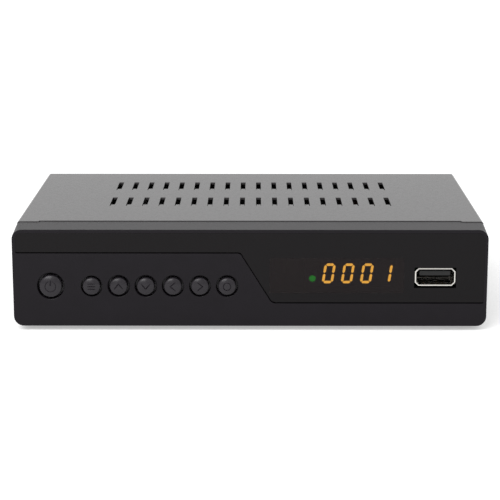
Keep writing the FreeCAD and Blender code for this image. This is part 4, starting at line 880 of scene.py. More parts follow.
@dataclass
class FrontPanel:
    """Moulded fascia with its display plate.

    Args:
        corner_radius: Corners of the face.
        rear_radius: Corners of the rear rim.
        corner_segments: Steps round each corner.
        rear_fall: How far the top falls from the face to the rear rim.
        face_edge: Rounding round the face.
        wall: Thickness of the outer walls.
        front_wall: Thickness of the wall behind the face.
        hollow_past: How far the hollow's cutter reaches behind the rear rim.
        lip_gap: Gap between the lip and the steel that closes on it.
        lip_root: How far inside the rear rim the lip starts.
        lip_length: How far it stands out behind the rim.
        lip_rise: Height of its lower edge above the fascia's.
        notch_x: Inner end of the notches for the cover's corner tabs.
        notch_depth: Depth of those notches from the rear rim.
        cut_depth: How deep the holes, the window and the USB opening are cut.
        plate_thickness: Thickness of the plate.
        plate_bed: Gap behind it.
        plate_gap: Gap between its sides and the fascia.
        plate_edge: Rounding of its edges.
        groove: Width of the groove along its stepped edge.
        groove_edge: Rounding of that groove's edge on the face.
        groove_low: Height above which the groove's edges lie.
        groove_drop: How far below the fascia's top they end.
        hole_edge: Rounding of the button holes.
        hole_margin: Width of the ring round a hole where no edge belongs to the groove.
        power_hole: Radius of the power button's hole.
        small_hole: Radius of the small buttons' holes.
        usb_half: Half the width and half the height of the opening round the USB socket.
        usb_drop: How far that opening sits below the socket's centre.
        usb_margin: Half sizes of the area round the socket where no edge belongs to the groove.
        window_x: Left and right side of the display's window.
        window_drops: Its lower and upper edge, below the fascia's top.
        outline: The plate's outline.
    """

    corner_radius: float = 3.5
    rear_radius: float = 1.0
    corner_segments: int = 8
    rear_fall: float = 0.2
    face_edge: float = 0.14
    wall: float = 2.0
    front_wall: float = 2.8
    hollow_past: float = 9.0
    lip_gap: float = 0.1
    lip_root: float = 2.0
    lip_length: float = 2.6
    lip_rise: float = 3.2
    notch_x: float = 75.7
    notch_depth: float = 1.3
    cut_depth: float = 6.0
    plate_thickness: float = 1.5
    plate_bed: float = 0.1
    plate_gap: float = 0.03
    plate_edge: float = 0.06
    groove: float = 0.4
    groove_edge: float = 0.15
    groove_low: float = 8.0
    groove_drop: float = 2.0
    hole_edge: float = 0.35
    hole_margin: float = 1.0
    power_hole: float = 4.7
    small_hole: float = 3.82
    usb_half: tuple[float, float] = (7.4, 3.7)
    usb_drop: float = 0.25
    usb_margin: tuple[float, float] = (8.0, 5.0)
    window_x: tuple[float, float] = (6.95, 54.4)
    window_drops: tuple[float, float] = (22.9, 10.2)
    outline: SteppedOutline = field(default_factory=SteppedOutline)

    def window_heights(self) -> list[float]:
        """Heights of the window's lower and upper edge."""
        return [CASE.top - drop for drop in self.window_drops]

    def in_window(self, place: Vector) -> bool:
        """Tell whether a place, in millimetres, lies in front of the display's opening."""
        (left, right), (bottom, top) = self.window_x, self.window_heights()
        return left < place.x < right and bottom < place.z < top

    def from_centre(self, place: Vector, x: float) -> float:
        """Distance of a place from the centre line of the button hole at x."""
        return math.hypot(place.x - x, place.z - CASE.button_z)

    def on_groove(self, place: Vector, way: Vector) -> bool:
        """Test that an edge runs along the open side of the groove, on the face.

        Args:
            place: The edge's middle.
            way: Not used, as the groove runs several ways.

        Returns:
            Whether it does.
        """
        clear = all(self.from_centre(place, x) > radius + self.hole_margin for x, radius in self.holes())
        inside = abs(place.x) < CASE.half_width - self.outline.rim - NEAR and \
            self.groove_low < place.z < CASE.top - self.groove_drop
        usb_half_width, usb_half_height = self.usb_margin
        at_usb = abs(place.x - CASE.usb_x) < usb_half_width and abs(place.z - CASE.usb_z) < usb_half_height
        return abs(place.y - CASE.face) < NEAR and inside and clear and not at_usb

    def holes(self) -> list[tuple[float, float]]:
        """Centre x and radius of the seven button holes."""
        return [(CASE.power_x, self.power_hole)] + [(x, self.small_hole) for x in CASE.small_xs()]

    def opening(self, name: str, x0: float, x1: float, z0: float, z1: float) -> Piece:
        """Cutter for a square opening in the face.

        Args:
            name: Name of the cutter.
            x0: Left side of the opening.
            x1: Right side.
            z0: Lower edge.
            z1: Upper edge.

        Returns:
            The cutter.
        """
        return block(name, (x0, CASE.y(-PAST), z0), (x1, CASE.y(self.cut_depth), z1))

    def usb_cutter(self) -> Piece:
        """Cutter for the opening round the USB socket.

        Returns:
            The cutter.
        """
        half_width, half_height = self.usb_half
        z = CASE.usb_z - self.usb_drop
        return self.opening("usb_cutter", CASE.usb_x - half_width, CASE.usb_x + half_width,
                            z - half_height, z + half_height)

    def body(self) -> Piece:
        """Block that changes from the rounded face to the squarer rear rim.

        Returns:
            The block.
        """
        ends = []
        for depth, radius, top in ((0.0, self.corner_radius, CASE.top),
                                   (CASE.fascia_depth, self.rear_radius, CASE.top - self.rear_fall)):
            y = CASE.y(depth)
            end = sheet("fascia", (-CASE.half_width, y, CASE.bottom), (CASE.half_width, y, top))
            bevel(end, anywhere, radius, self.corner_segments, Element.VERTS)
            ends.append(end)
        obj = join(ends)
        obj.name = "fascia_moulding"
        edit(obj, Element.EDGES, anywhere, bpy.ops.mesh.bridge_edge_loops)
        face_outwards(obj)
        bevel(obj, at(y=CASE.face), self.face_edge)
        return obj

    def lip(self) -> Piece:
        """Block of the lip that the cover's front edge lies on.

        Returns:
            The block.
        """
        half, rear = CASE.half_width - CASE.sheet - self.lip_gap, CASE.fascia_depth
        return block("lip", (-half, CASE.y(rear - self.lip_root), CASE.bottom + self.lip_rise),
                     (half, CASE.y(rear + self.lip_length), CASE.top - CASE.sheet - self.lip_gap))

    def cutters(self) -> list[Piece]:
        """Everything that is cut out of the fascia.

        Returns:
            Cutters of the hollow, the notches, the plate's recess, the window, the USB opening and the holes.
        """
        inner, rear = CASE.half_width - self.wall, CASE.fascia_depth
        tools = [block("hollow", (-inner, CASE.y(self.front_wall), CASE.bottom + self.wall),
                       (inner, CASE.y(rear + self.hollow_past), CASE.top - self.wall))]
        for side in (-1, 1):
            near, far = sorted((side * self.notch_x, side * (CASE.half_width + PAST)))
            tools.append(block("notch", (near, CASE.y(rear - self.notch_depth),
                                         CASE.top - CASE.sheet - self.lip_gap),
                               (far, CASE.y(rear), CASE.top + PAST)))
        proud = PAST / 2
        recess = self.outline.cut("recess", -proud, 0.0, self.groove)
        thicken(recess, proud + self.plate_thickness + self.plate_bed)
        tools.append(recess)
        tools.append(self.opening("window", *self.window_x, *self.window_heights()))
        tools.append(self.usb_cutter())
        for x, radius in self.holes():
            tools.append(drum("hole", (x, CASE.y(-PAST), CASE.button_z), radius, PAST + self.cut_depth))
        return tools

    def build_fascia(self) -> Piece:
        """Fascia with its hollow, lip, recess, window and holes.

        Returns:
            The finished fascia.
        """
        obj = self.body()
        combine(obj, [self.lip()], "UNION")
        combine(obj, self.cutters())
        for x, radius in self.holes():
            bevel(obj, lambda place, way, x=x, radius=radius: abs(place.y - CASE.face) < NEAR and
                  abs(self.from_centre(place, x) - radius) < NEAR, self.hole_edge)
        bevel(obj, self.on_groove, self.groove_edge, segments=2)
        return hand_over(obj, PALETTE.grained_abs, "fascia_abs", "fascia")

    def build_plate(self) -> Piece:
        """Smoked plate, bedded in the fascia: printed black behind, but for the display's window.

        Returns:
            The finished plate.
        """
        obj = self.outline.cut("display_window_plate", 0.0, -self.plate_gap, 0.0)
        bottom, top = self.window_heights()
        for height in (top, bottom):
            split(obj, anywhere, (0, 0, height), (0, 0, 1))
        for x in self.window_x:
            split(obj, lambda place, way: bottom < place.z < top, (x, 0, 0), (1, 0, 0))
        thicken(obj, self.plate_thickness)
        combine(obj, [self.usb_cutter()])
        soften(obj, self.plate_edge)
        hand_over(obj, PALETTE.printed_acrylic, "smoked_acrylic", "display_plate")
        printed, tinted, clear = range(3)
        for finish in (PALETTE.smoked_acrylic, PALETTE.clear_acrylic):
            obj.data.materials.append(PALETTE.get(finish))
        for face in obj.data.polygons:
            face.material_index = printed
            if self.in_window(face.center / MM):
                face.material_index = tinted if face.normal.y < 0 else clear
        return obj


class Mark(Enum):
    """Sign sunk into a button's face."""

    POWER = "power"
    MENU = "menu"
    UP = "up"
    DOWN = "down"
    LEFT = "left"
    RIGHT = "right"
    OK = "ok"


@dataclass
class PushButton:
    """Button with a domed cap, a flange behind the wall and a stem to its switch.

    Args:
        mark: The sign on its face, which also names its body.
        x: Its middle.
        radius: The cap's radius.
        flange: Half the flange's width.
        flange_depths: Front and rear of the flange, behind the fascia's face.
        stem: Half the stem's width.
        stem_depths: Front and rear of the stem.
        proud: How far the cap stands out of the fascia.
        length: Length of the cap.
        shoulder: Radius of its front edge.
        shoulder_steps: Rings round that edge.
        dome: Where the dome's rings lie, as shares of its radius.
        tilt: Slope of its domed front at the shoulder, in degrees.
        stroke: Width of the mark's strokes.
        sign: Reach of the mark from the middle, as a share of the cap's radius.
        spread: Half depth of a chevron, and bar to bar of the menu sign, as shares of that reach.
        arm: Half width of a chevron.
        ok_ring: Radius of the ring for OK.
        power_ring: Radius of the power sign's ring.
        power_bar: Lower and upper end of its bar.
        power_gap: Half width of the gap in its ring, in millimetres.
        gap_heights: Lower and upper end of the gap's cutter, above the middle.
        gap_depth: How far that cutter reaches in front of the cap's crown.
    """

    mark: Mark
    x: float
    radius: float
    flange: float
    flange_depths: tuple[float, float] = (3.1, 3.9)
    stem: float = 1.5
    stem_depths: tuple[float, float] = (3.8, 6.4)
    proud: float = 1.3
    length: float = 4.4
    shoulder: float = 0.75
    shoulder_steps: int = 6
    dome: tuple[float, ...] = (0.2, 0.4, 0.6, 0.8, 1.0)
    tilt: float = 24.0
    stroke: float = 0.6
    sign: float = 0.38
    spread: float = 0.8
    arm: float = 1.3
    ok_ring: float = 1.1
    power_ring: float = 1.25
    power_bar: tuple[float, float] = (0.35, 1.6)
    power_gap: float = 0.55
    gap_heights: tuple[float, float] = (0.2, 3.0)
    gap_depth: float = 2.7

    def profile(self) -> list[tuple[float, float]]:
        """Rings of the cap from its front: a shallow dome, the shoulder and the side.

        Returns:
            Radius and distance from the front of each ring.
        """
        tilt = math.radians(self.tilt)
        crown = self.radius - self.shoulder * (1 - math.sin(tilt))
        rise = crown * math.tan(tilt) / 2
        rings = [(crown * share, rise * share ** 2) for share in self.dome]
        for step in range(1, self.shoulder_steps + 1):
            angle = tilt + (math.pi / 2 - tilt) * step / self.shoulder_steps
            rings.append((crown + self.shoulder * (math.sin(angle) - math.sin(tilt)),
                          rise + self.shoulder * (math.cos(tilt) - math.cos(angle))))
        return rings + [(self.radius, self.length)]

    def bar(self, start: tuple[float, float], end: tuple[float, float]) -> Piece:
        """Cutter for a straight stroke, a bar that stands on its edge.

        Args:
            start: One end on the face, from its middle.
            end: The other end.

        Returns:
            The cutter.
        """
        (x0, z0), (x1, z1) = start, end
        take()
        bpy.ops.mesh.primitive_cylinder_add(vertices=4, radius=self.stroke / 2,
                                            depth=math.hypot(x1 - x0, z1 - z0) + self.stroke / 2)
        obj = bpy.context.object
        middle = (self.x + (x0 + x1) / 2, CASE.y(-self.proud), CASE.button_z + (z0 + z1) / 2)
        slope = math.atan2(z1 - z0, x1 - x0)
        obj.matrix_world = Matrix.Translation(middle) @ Matrix.Rotation(-slope, 4, "Y") \
            @ Matrix.Rotation(math.pi / 2, 4, "Y")
        return settle(obj)

    def ring(self, radius: float) -> Piece:
        """Cutter for a round stroke.

        Args:
            radius: Radius of the stroke's middle.

        Returns:
            The cutter.
        """
        take()
        bpy.ops.mesh.primitive_torus_add(location=(self.x, CASE.y(-self.proud), CASE.button_z),
                                         rotation=Axis.Y.value, major_radius=radius,
                                         minor_radius=self.stroke / 2, major_segments=ROUND // 2,
                                         minor_segments=4)
        return settle(bpy.context.object)

    def strokes(self) -> list[Piece]:
        """Cutters of the mark.

        Returns:
            One cutter for each stroke.
        """
        reach = self.sign * self.radius
        step, arm = reach * self.spread, reach * self.arm
        ways = {Mark.LEFT: (-1, 0), Mark.RIGHT: (1, 0), Mark.UP: (0, 1), Mark.DOWN: (0, -1)}
        if self.mark in ways:
            u, v = ways[self.mark]
            return [self.bar((u * step, v * step), (v * side * arm - u * step, u * side * arm - v * step))
                    for side in (-1, 1)]
        if self.mark is Mark.MENU:
            return [self.bar((-reach, k * step), (reach, k * step)) for k in (-1, 0, 1)]
        if self.mark is Mark.OK:
            return [self.ring(self.ok_ring * reach)]
        ring = self.ring(self.power_ring * reach)
        bottom, top = (CASE.button_z + height for height in self.gap_heights)
        combine(ring, [block("gap", (self.x - self.power_gap, CASE.y(-self.proud - self.gap_depth), bottom),
                             (self.x + self.power_gap, CASE.y(PAST / 2), top))])
        return [ring, self.bar(*((0.0, share * reach) for share in self.power_bar))]

    def square(self, name: str, half: float, depths: tuple[float, float]) -> Piece:
        """Square block behind the cap.

        Args:
            name: Name of the block.
            half: Half its width.
            depths: Its front and rear.

        Returns:
            The block.
        """
        front, rear = (CASE.y(depth) for depth in depths)
        return block(name, (self.x - half, front, CASE.button_z - half),
                     (self.x + half, rear, CASE.button_z + half))

    def build(self) -> Piece:
        """Whole button.

        Returns:
            The finished button.
        """
        name = self.mark.value
        obj = turned(name + "_button_cap", (self.x, CASE.y(-self.proud), CASE.button_z), self.profile())
        combine(obj, self.strokes())
        combine(obj, [self.square("flange", self.flange, self.flange_depths),
                      self.square("stem", self.stem, self.stem_depths)], "UNION")
        return hand_over(obj, PALETTE.satin_abs, "button_abs", name + "_button", body=name + "_key")


@dataclass
class TopCover:
    """Folded steel cover with corner tabs, screw holes and two rows of lanced vents.

    Args:
        front: Depth of its front edge.
        tab: Length of the corner tabs in front of that.
        tab_x: Inner side of the corner tabs.
        fold: Outer radius of the folds.
        fold_segments: Steps round each fold.
        columns: Vents in a row.
        rows: Rows of vents.
        pitch: Middle to middle of two vents.
        slot_width: Width of a vent.
        slot_length: Length of a vent.
        first_row: Depth of the front row's front end.
        row_pitch: Row to row.
        root: Straight start of a vent's strip.
        step: How far it then steps down, and back.
        level: Level part behind the step.
        bend: Radius of the rest.
        turn: How far that curves down, in degrees.
        bend_segments: Steps round that curve.
        side_gap: Cut beside the strip.
        screw_depths: Depths of the screws in each side.
        screw_z: Height of the screws.
        screw_hole: Radius of their holes.
        cutter_half: Half the width of cutters that pass right through.
        cutter_top: Height of the cutter between the tabs.
        cutter_drop: How far the vents' cutter reaches below the top.
    """

    front: float = 15.6
    tab: float = 1.3
    tab_x: float = 76.1
    fold: float = 1.0
    fold_segments: int = 8
    columns: int = 18
    rows: int = 2
    pitch: float = 6.13
    slot_width: float = 1.9
    slot_length: float = 16.4
    first_row: float = 42.5
    row_pitch: float = 31.6
    root: float = 0.3
    step: float = 0.45
    level: float = 3.2
    bend: float = 14.0
    turn: float = 50.0
    bend_segments: int = 8
    side_gap: float = 0.15
    screw_depths: tuple[float, float] = (32.0, 94.0)
    screw_z: float = 9.6
    screw_hole: float = 1.65
    cutter_half: float = 90.0
    cutter_top: float = 50.0
    cutter_drop: float = 3.0

    def shell(self) -> Piece:
        """Folded sheet without its holes.

        Returns:
            The sheet with its thickness.
        """
        half, front, rear = CASE.half_width, CASE.y(self.front - self.tab), CASE.y(CASE.body_depth)
        obj = sheet("top_cover_sheet", (-half, front, CASE.top), (half, rear, CASE.top))
        for x in (-half, half):
            extrude(obj, at(x=x), (0, 0, CASE.foot_height - CASE.top))
        bevel(obj, lambda place, way: abs(abs(place.x) - half) < NEAR and abs(place.z - CASE.top) < NEAR,
              self.fold, self.fold_segments)
        face_outwards(obj, (0, 0, 1))
        thicken(obj, CASE.sheet)
        return obj

    def first_vent(self) -> tuple[float, float]:
        """Middle x and front y of the first vent in the front row."""
        return -(self.columns - 1) / 2 * self.pitch, CASE.y(self.first_row)

    def in_rows(self, obj: Piece) -> Piece:
        """Repeat the first vent's mesh for all vents.

        Args:
            obj: The mesh object.

        Returns:
            The same object.
        """
        repeat(obj, self.columns, (self.pitch, 0, 0))
        repeat(obj, self.rows, (0, self.row_pitch, 0))
        return obj

    def vent_cutter(self) -> Piece:
        """Solid that cuts all the vents.

        Returns:
            The cutter.
        """
        (x, start), half = self.first_vent(), self.slot_width / 2
        return self.in_rows(block("vents", (x - half, start, CASE.top - self.cutter_drop),
                                  (x + half, start + self.slot_length, CASE.top + PAST)))

    def strips(self) -> Piece:
        """The lanced strips, stepped down at the root and curving down to the rear.

        Returns:
            All the strips.
        """
        (x, start), half = self.first_vent(), self.slot_width / 2 - self.side_gap
        end, height = start + self.root, CASE.top
        obj = sheet("strips", (x - half, start, height), (x + half, end, height))
        for back, down in ((self.step, self.step), (self.level, 0.0)):
            extrude(obj, at(y=end), (0, back, -down))
            end, height = end + back, height - down
        edit(obj, Element.EDGES, at(y=end),
             lambda: bpy.ops.mesh.spin(steps=self.bend_segments, angle=math.radians(self.turn),
                                       center=(x, end, height - self.bend), axis=(1, 0, 0)))
        face_outwards(obj, (0, 0, 1))
        thicken(obj, CASE.sheet)
        return self.in_rows(obj)

    def build(self) -> Piece:
        """Whole cover.

        Returns:
            The finished cover.
        """
        obj = self.shell()
        front, rear, wide = CASE.y(self.front - self.tab - PAST), CASE.y(self.front), self.cutter_half
        tools = [
            block("between", (-self.tab_x, front, 0.0), (self.tab_x, rear, self.cutter_top)),
            block("below", (-wide, front, 0.0), (wide, rear, CASE.top - CASE.sheet)),
            self.vent_cutter(),
        ]
        for depth in self.screw_depths:
            tools.append(drum("screw_hole", (-wide, CASE.y(depth), self.screw_z), self.screw_hole, 2 * wide,
                              Axis.X, HIDDEN_ROUND))
        combine(obj, tools)
        return hand_over(join([obj, self.strips()]), PALETTE.powder_coat, "painted_steel", "top_cover")


@dataclass
class CoverScrews:
    """Pan-head screws through the cover's sides.

    Args:
        radius: Radius of the head.
        head: Height of the head.
        crown: Rounding of the head.
        recess: Depth of the cross.
        cross: Half length of its arms.
        blade: Half width of its arms.
        edge: Rounding of the other edges.
        shank: Radius of the shank.
        shank_length: How far it reaches into the case.
        overlap: How far it reaches into the head.
    """

    radius: float = 2.75
    head: float = 1.6
    crown: float = 0.6
    recess: float = 0.9
    cross: float = 1.4
    blade: float = 0.28
    edge: float = 0.06
    shank: float = 1.45
    shank_length: float = 5.0
    overlap: float = 0.1

    def build(self, cover: TopCover) -> Piece:
        """All four screws.

        Args:
            cover: The cover that they hold.

        Returns:
            One piece with the four screws.
        """
        x, z = CASE.half_width, cover.screw_z
        first, last = cover.screw_depths
        y = CASE.y(first)
        screw = drum("cover_screw_set", (x, y, z), self.radius, self.head, Axis.X, SMALL_ROUND)
        bevel(screw, at(x=x + self.head), self.crown, segments=4)
        deep = x + self.head - self.recess
        combine(screw, [block("slot", (deep, y - across, z - up), (x + self.head + PAST, y + across, z + up))
                        for across, up in ((self.cross, self.blade), (self.blade, self.cross))])
        soften(screw, self.edge)
        shank = drum("shank", (x - self.shank_length, y, z), self.shank, self.shank_length + self.overlap,
                     Axis.X, HIDDEN_ROUND)
        combine(screw, [shank], "UNION")
        right = join([screw, twin(screw, (0, last - first, 0))])
        left = twin(right, (0, 0, 0), mirror_x=True)
        return hand_over(join([right, left]), PALETTE.black_oxide, "black_screw", "cover_screws")


@dataclass
class Feet:
    """Round stick-on feet.

    Args:
        radius: Radius of a foot.
        x: How far a foot lies from the middle.
        depths: Depths of the feet on each side.
        edge: Rounding of the lower edge.
        rim: Width of the flat ring underneath.
        slope: Width of the slope inside it.
        hollow: Depth of the hollow inside that.
    """

    radius: float = 5.0
    x: float = 69.0
    depths: tuple[float, float] = (30.0, 98.0)
    edge: float = 0.6
    rim: float = 0.8
    slope: float = 0.25
    hollow: float = 0.2

    def build(self) -> Piece:
        """All four feet as one piece.

        Returns:
            The finished feet.
        """
        first, last = self.depths
        foot = drum("feet", (self.x, CASE.y(first), 0.0), self.radius, CASE.foot_height, Axis.Z, SMALL_ROUND)
        bevel(foot, at(z=0.0), self.edge, segments=4)
        edit(foot, Element.FACES, lambda place, way: way.z < -STRAIGHT,
             lambda: bpy.ops.mesh.inset(thickness=self.rim, depth=0.0),
             lambda: bpy.ops.mesh.inset(thickness=self.slope, depth=0.0),
             lambda: bpy.ops.transform.translate(value=(0, 0, self.hollow)))
        feet = [foot, twin(foot, (0, last - first, 0))]
        feet += [twin(item, (-2 * self.x, 0, 0)) for item in list(feet)]
        return hand_over(join(feet), PALETTE.foot_rubber, "foot_rubber", "rubber_feet")


@dataclass
class DisplayDigits:
    """Lit strokes of the display, a little bolder than their solids.

    Args:
        first: Left edge of the first digit.
        pitch: Digit to digit.
        stretch: Widening of a digit from its left edge.
        bold: Widening of a stroke across its length.
        edge: Rounding of the strokes.
        low_corner: Number of the low corner in an object's bound box.
        high_corner: Number of the high corner.
    """

    first: float = 25.65
    pitch: float = 6.77
    stretch: float = 1.05
    bold: float = 1.12
    edge: float = 0.03
    low_corner: int = 0
    high_corner: int = 6

    def build(self) -> Piece:
        """All lit strokes as one piece.

        Returns:
            The finished strokes.
        """
        obj = redrawn("lit_segments", self.edge, segments=1)
        obj.name = "display_digits"
        edit(obj, Element.FACES, anywhere, lambda: bpy.ops.mesh.separate(type="LOOSE"))
        strokes = list(bpy.context.selected_objects)
        for stroke in strokes:
            low, high = (Vector(stroke.bound_box[corner]) for corner in (self.low_corner, self.high_corner))
            middle, size = (low + high) / 2, high - low
            inset = (middle.x - self.first) % self.pitch
            scale = (self.bold, 1, 1) if size.x < size.z else (self.stretch, 1, self.bold)
            take(stroke)
            bpy.ops.transform.resize(value=scale, center_override=middle)
            bpy.ops.transform.translate(value=((self.stretch - 1) * inset, 0, 0))
            settle(stroke)
        return hand_over(join(strokes), PALETTE.lit_segment, "lit_segment", "lit_segments")


@dataclass
class UsbSocket:
    """Steel shell of the USB socket with its flared mouth.

    Args:
        width: Inner width.
        height: Inner height.
        wall: Thickness of the steel.
        mouth: Depth of the mouth's front edge.
        flare_width: Outer width of the mouth.
        flare_height: Outer height of the mouth.
        flare: Length of the flare.
        depth: Depth of the rear end.
        mouth_corner: Corners of the mouth.
        corner: Corners of the shell.
    """

    width: float = 12.5
    height: float = 5.12
    wall: float = 0.42
    mouth: float = 0.3
    flare_width: float = 14.3
    flare_height: float = 6.4
    flare: float = 1.0
    depth: float = 10.8
    mouth_corner: float = 1.25
    corner: float = 0.7

    def build(self) -> Piece:
        """The shell: three outlines, the two open ones bridged to the next, and the last one closed.

        Returns:
            The finished shell.
        """
        x, z = CASE.usb_x, CASE.usb_z
        mouth = (self.flare_width, self.flare_height, self.mouth_corner)
        tube = (self.width + 2 * self.wall, self.height + 2 * self.wall, self.corner)
        front, middle, rear = (CASE.y(depth) for depth in (self.mouth, self.mouth + self.flare, self.depth))
        rings = []
        for y, (width, height, corner) in ((front, mouth), (middle, tube), (rear, tube)):
            ring = sheet("usb_socket_shell", (x - width / 2, y, z - height / 2),
                         (x + width / 2, y, z + height / 2))
            bevel(ring, anywhere, corner, segments=1, element=Element.VERTS)
            rings.append(ring)
        for ring in rings[:2]:
            edit(ring, Element.FACES, anywhere, lambda: bpy.ops.mesh.delete(type="ONLY_FACE"))
        obj = join(rings)
        for near, far in ((front, middle), (middle, rear)):
            edit(obj, Element.EDGES, lambda place, way: abs(way.y) < NEAR and
                 (abs(place.y - near) < NEAR or abs(place.y - far) < NEAR), bpy.ops.mesh.bridge_edge_loops)
        face_outwards(obj)
        thicken(obj, self.wall)
        return hand_over(obj, PALETTE.nickel_steel, "nickel_steel", "usb_shell")


# ---- Rear sockets ----------------------------------------------------------------------------------------
@dataclass
class AerialSockets:
    """Two threaded F connectors with their nuts.

    Args:
        radius: Outer radius of the thread.
        bore: Radius of the bore.
        pitch: Thread pitch.
        thread: Depth of the thread.
        rise: Where the root and the crest of a turn start and end, as shares of the pitch.
        nut_flats: Width across the nut's flats.
        nut_length: Length of the nut.
        nut_turned: How far the nut's corners are turned off.
        nut_crown: Width of the slope at their ends.
        play: Gap between the nut and the barrel.
        run_in: Plain length between the nut and the thread.
        relief: How far the plain barrel lies below the thread's crest.
        end_gap: Shortest length left behind the last turn.
        tip: Length of the slope at the open end.
        tip_fall: How far that slope starts below the crest and ends below the root.
    """

    radius: float = 4.76
    bore: float = 3.5
    pitch: float = 0.8
    thread: float = 0.38
    rise: tuple[float, float, float, float] = (0.3, 0.45, 0.75, 0.95)
    nut_flats: float = 11.1
    nut_length: float = 2.2
    nut_turned: float = 0.05
    nut_crown: float = 0.42
    play: float = 0.04
    run_in: float = 0.3
    relief: float = 0.02
    end_gap: float = 0.1
    tip: float = 0.45
    tip_fall: tuple[float, float] = (0.05, 0.1)

    def connector(self, node: str) -> Piece:
        """One threaded barrel.

        Args:
            node: The node that it stands for.

        Returns:
            The finished barrel.
        """
        low, high, middle = span(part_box(node))
        length = high.y - low.y
        reach = CASE.y(CASE.panel_outside) + self.nut_length + self.run_in - low.y
        root, plain = self.radius - self.thread, self.radius - self.relief
        profile = [(plain, 0.0), (plain, reach)]
        while reach + self.pitch < length - self.end_gap:
            profile += [(radius, reach + share * self.pitch)
                        for radius, share in zip((root, root, self.radius, self.radius), self.rise)]
            reach += self.pitch
        crest_fall, root_fall = self.tip_fall
        profile += [(self.radius - crest_fall, length - self.tip), (root - root_fall, length)]
        obj = turned(node + "_threaded", (middle.x, low.y, middle.z), profile)
        combine(obj, [drum("bore", (middle.x, low.y - PAST / 2, middle.z), self.bore, length + PAST)])
        return hand_over(obj, PALETTE.nickel_brass, "nickel_brass", node)

    def nut(self, x: float, y: float, z: float) -> Piece:
        """One hexagonal nut that stands on a flat, with its corners turned off.

        Args:
            x: Its middle.
            y: Its front.
            z: Height of its middle.

        Returns:
            The nut.
        """
        corner = self.nut_flats / math.sqrt(3)
        obj = drum("f_nut_pair", (x, y, z), corner, self.nut_length, sides=6)
        obj.matrix_world = Matrix.Translation((x, 0, z)) @ Matrix.Rotation(math.pi / 6, 4, "Y") \
            @ Matrix.Translation((-x, 0, -z))
        settle(obj)
        round_bar = drum("round", (x, y, z), corner - self.nut_turned, self.nut_length)
        bevel(round_bar, lambda place, way: abs(way.y) < NEAR, self.nut_crown, segments=1)
        combine(obj, [round_bar], "INTERSECT")
        combine(obj, [drum("bore", (x, y - PAST / 2, z), self.radius + self.play,
                           self.nut_length + PAST)])
        return obj

    def build(self) -> None:
        """Both connectors and their nuts."""
        connectors = ("lnb_in_connector", "lnb_out_connector")
        for node in connectors:
            self.connector(node)
        low, _, middle = span(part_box("f_nuts"))
        nuts = [self.nut(span(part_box(node))[2].x, low.y, middle.z) for node in connectors]
        hand_over(join(nuts), PALETTE.nickel_brass, "nickel_brass", "f_nuts")


@dataclass
class CoaxialSocket:
    """Plated sleeve of the coaxial output.

    Args:
        radius: Outer radius of the sleeve.
        wall: Its thickness.
        flange: Radius of the flange on the rear panel.
        flange_length: Its length.
        lip: Rounding at the open end and on the flange.
        groove: Depth of the turned ring near the open end.
        groove_back: How far that ring lies from the open end.
        groove_steps: Where the ring is deep and where it ends, from its start.
    """

    radius: float = 4.15
    wall: float = 0.55
    flange: float = 4.8
    flange_length: float = 0.7
    lip: float = 0.2
    groove: float = 0.15
    groove_back: float = 2.0
    groove_steps: tuple[float, float, float] = (0.1, 0.4, 0.5)

    def build(self) -> Piece:
        """The sleeve in the place of its node.

        Returns:
            The finished sleeve.
        """
        low, high, middle = span(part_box("coax_shell"))
        panel, length = CASE.y(CASE.panel_outside) - low.y, high.y - low.y
        flange_end, ring = panel + self.flange_length, length - self.groove_back
        deep, shallow, end = (ring + step for step in self.groove_steps)
        profile = [(self.radius, 0.0), (self.radius, panel), (self.flange, panel),
                   (self.flange, flange_end - self.lip), (self.flange - self.lip, flange_end),
                   (self.radius, flange_end), (self.radius, ring), (self.radius - self.groove, deep),
                   (self.radius - self.groove, shallow), (self.radius, end),
                   (self.radius, length - self.lip), (self.radius - self.lip, length)]
        obj = turned("coaxial_sleeve", (middle.x, low.y, middle.z), profile)
        combine(obj, [drum("bore", (middle.x, low.y - PAST / 2, middle.z), self.radius - self.wall,
                           length + PAST)])
        return hand_over(obj, PALETTE.nickel_brass, "nickel_brass", "coax_shell")


@dataclass
class JackSocket:
    """Round-nosed jack for an infrared extension.

    Args:
        nose_radius: Radius of the nose through the rear panel.
        nose_root: How far the nose starts inside the body.
        bore: Radius of the bore.
        bore_depth: Depth of the bore.
        body_edge: Rounding of the body.
        nose_edge: Rounding of the nose and the bore's mouth.
    """

    nose_radius: float = 2.9
    nose_root: float = 1.0
    bore: float = 1.8
    bore_depth: float = 11.0
    body_edge: float = 0.2
    nose_edge: float = 0.3

    def build(self) -> Piece:
        """The jack in the place of its node.

        Returns:
            The finished jack.
        """
        low, high, middle = span(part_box("ir_jack"))
        x, z, inside = middle.x, middle.z, CASE.y(CASE.panel_outside - CASE.sheet)
        obj = block("infrared_jack", tuple(low), (high.x, inside, high.z))
        soften(obj, self.body_edge)
        nose = drum("nose", (x, inside - self.nose_root, z), self.nose_radius,
                    high.y - inside + self.nose_root)
        bevel(nose, at(y=high.y), self.nose_edge)
        combine(obj, [nose], "UNION")
        combine(obj, [drum("bore", (x, high.y - self.bore_depth, z), self.bore, self.bore_depth + PAST / 2)])
        bevel(obj, lambda place, way: abs(place.y - high.y) < NEAR and
              math.hypot(place.x - x, place.z - z) < self.bore + NEAR, self.nose_edge, segments=1)
        return hand_over(obj, PALETTE.black_nylon, "socket_insulator", "ir_jack")


@dataclass(frozen=True)
class RoundedNode:
    """Node whose copy only needs its edges rounded.

    Args:
        node: Name of the node.
        edge: Width of the rounding.
        slot: Its material slot.
        finish: Its finish.
    """

    node: str
    edge: float
    slot: str
    finish: Finish

    def build(self) -> Piece:
        """The rounded copy in the place of its node."""
        return hand_over(redrawn(self.node, self.edge), self.finish, self.slot, self.node)


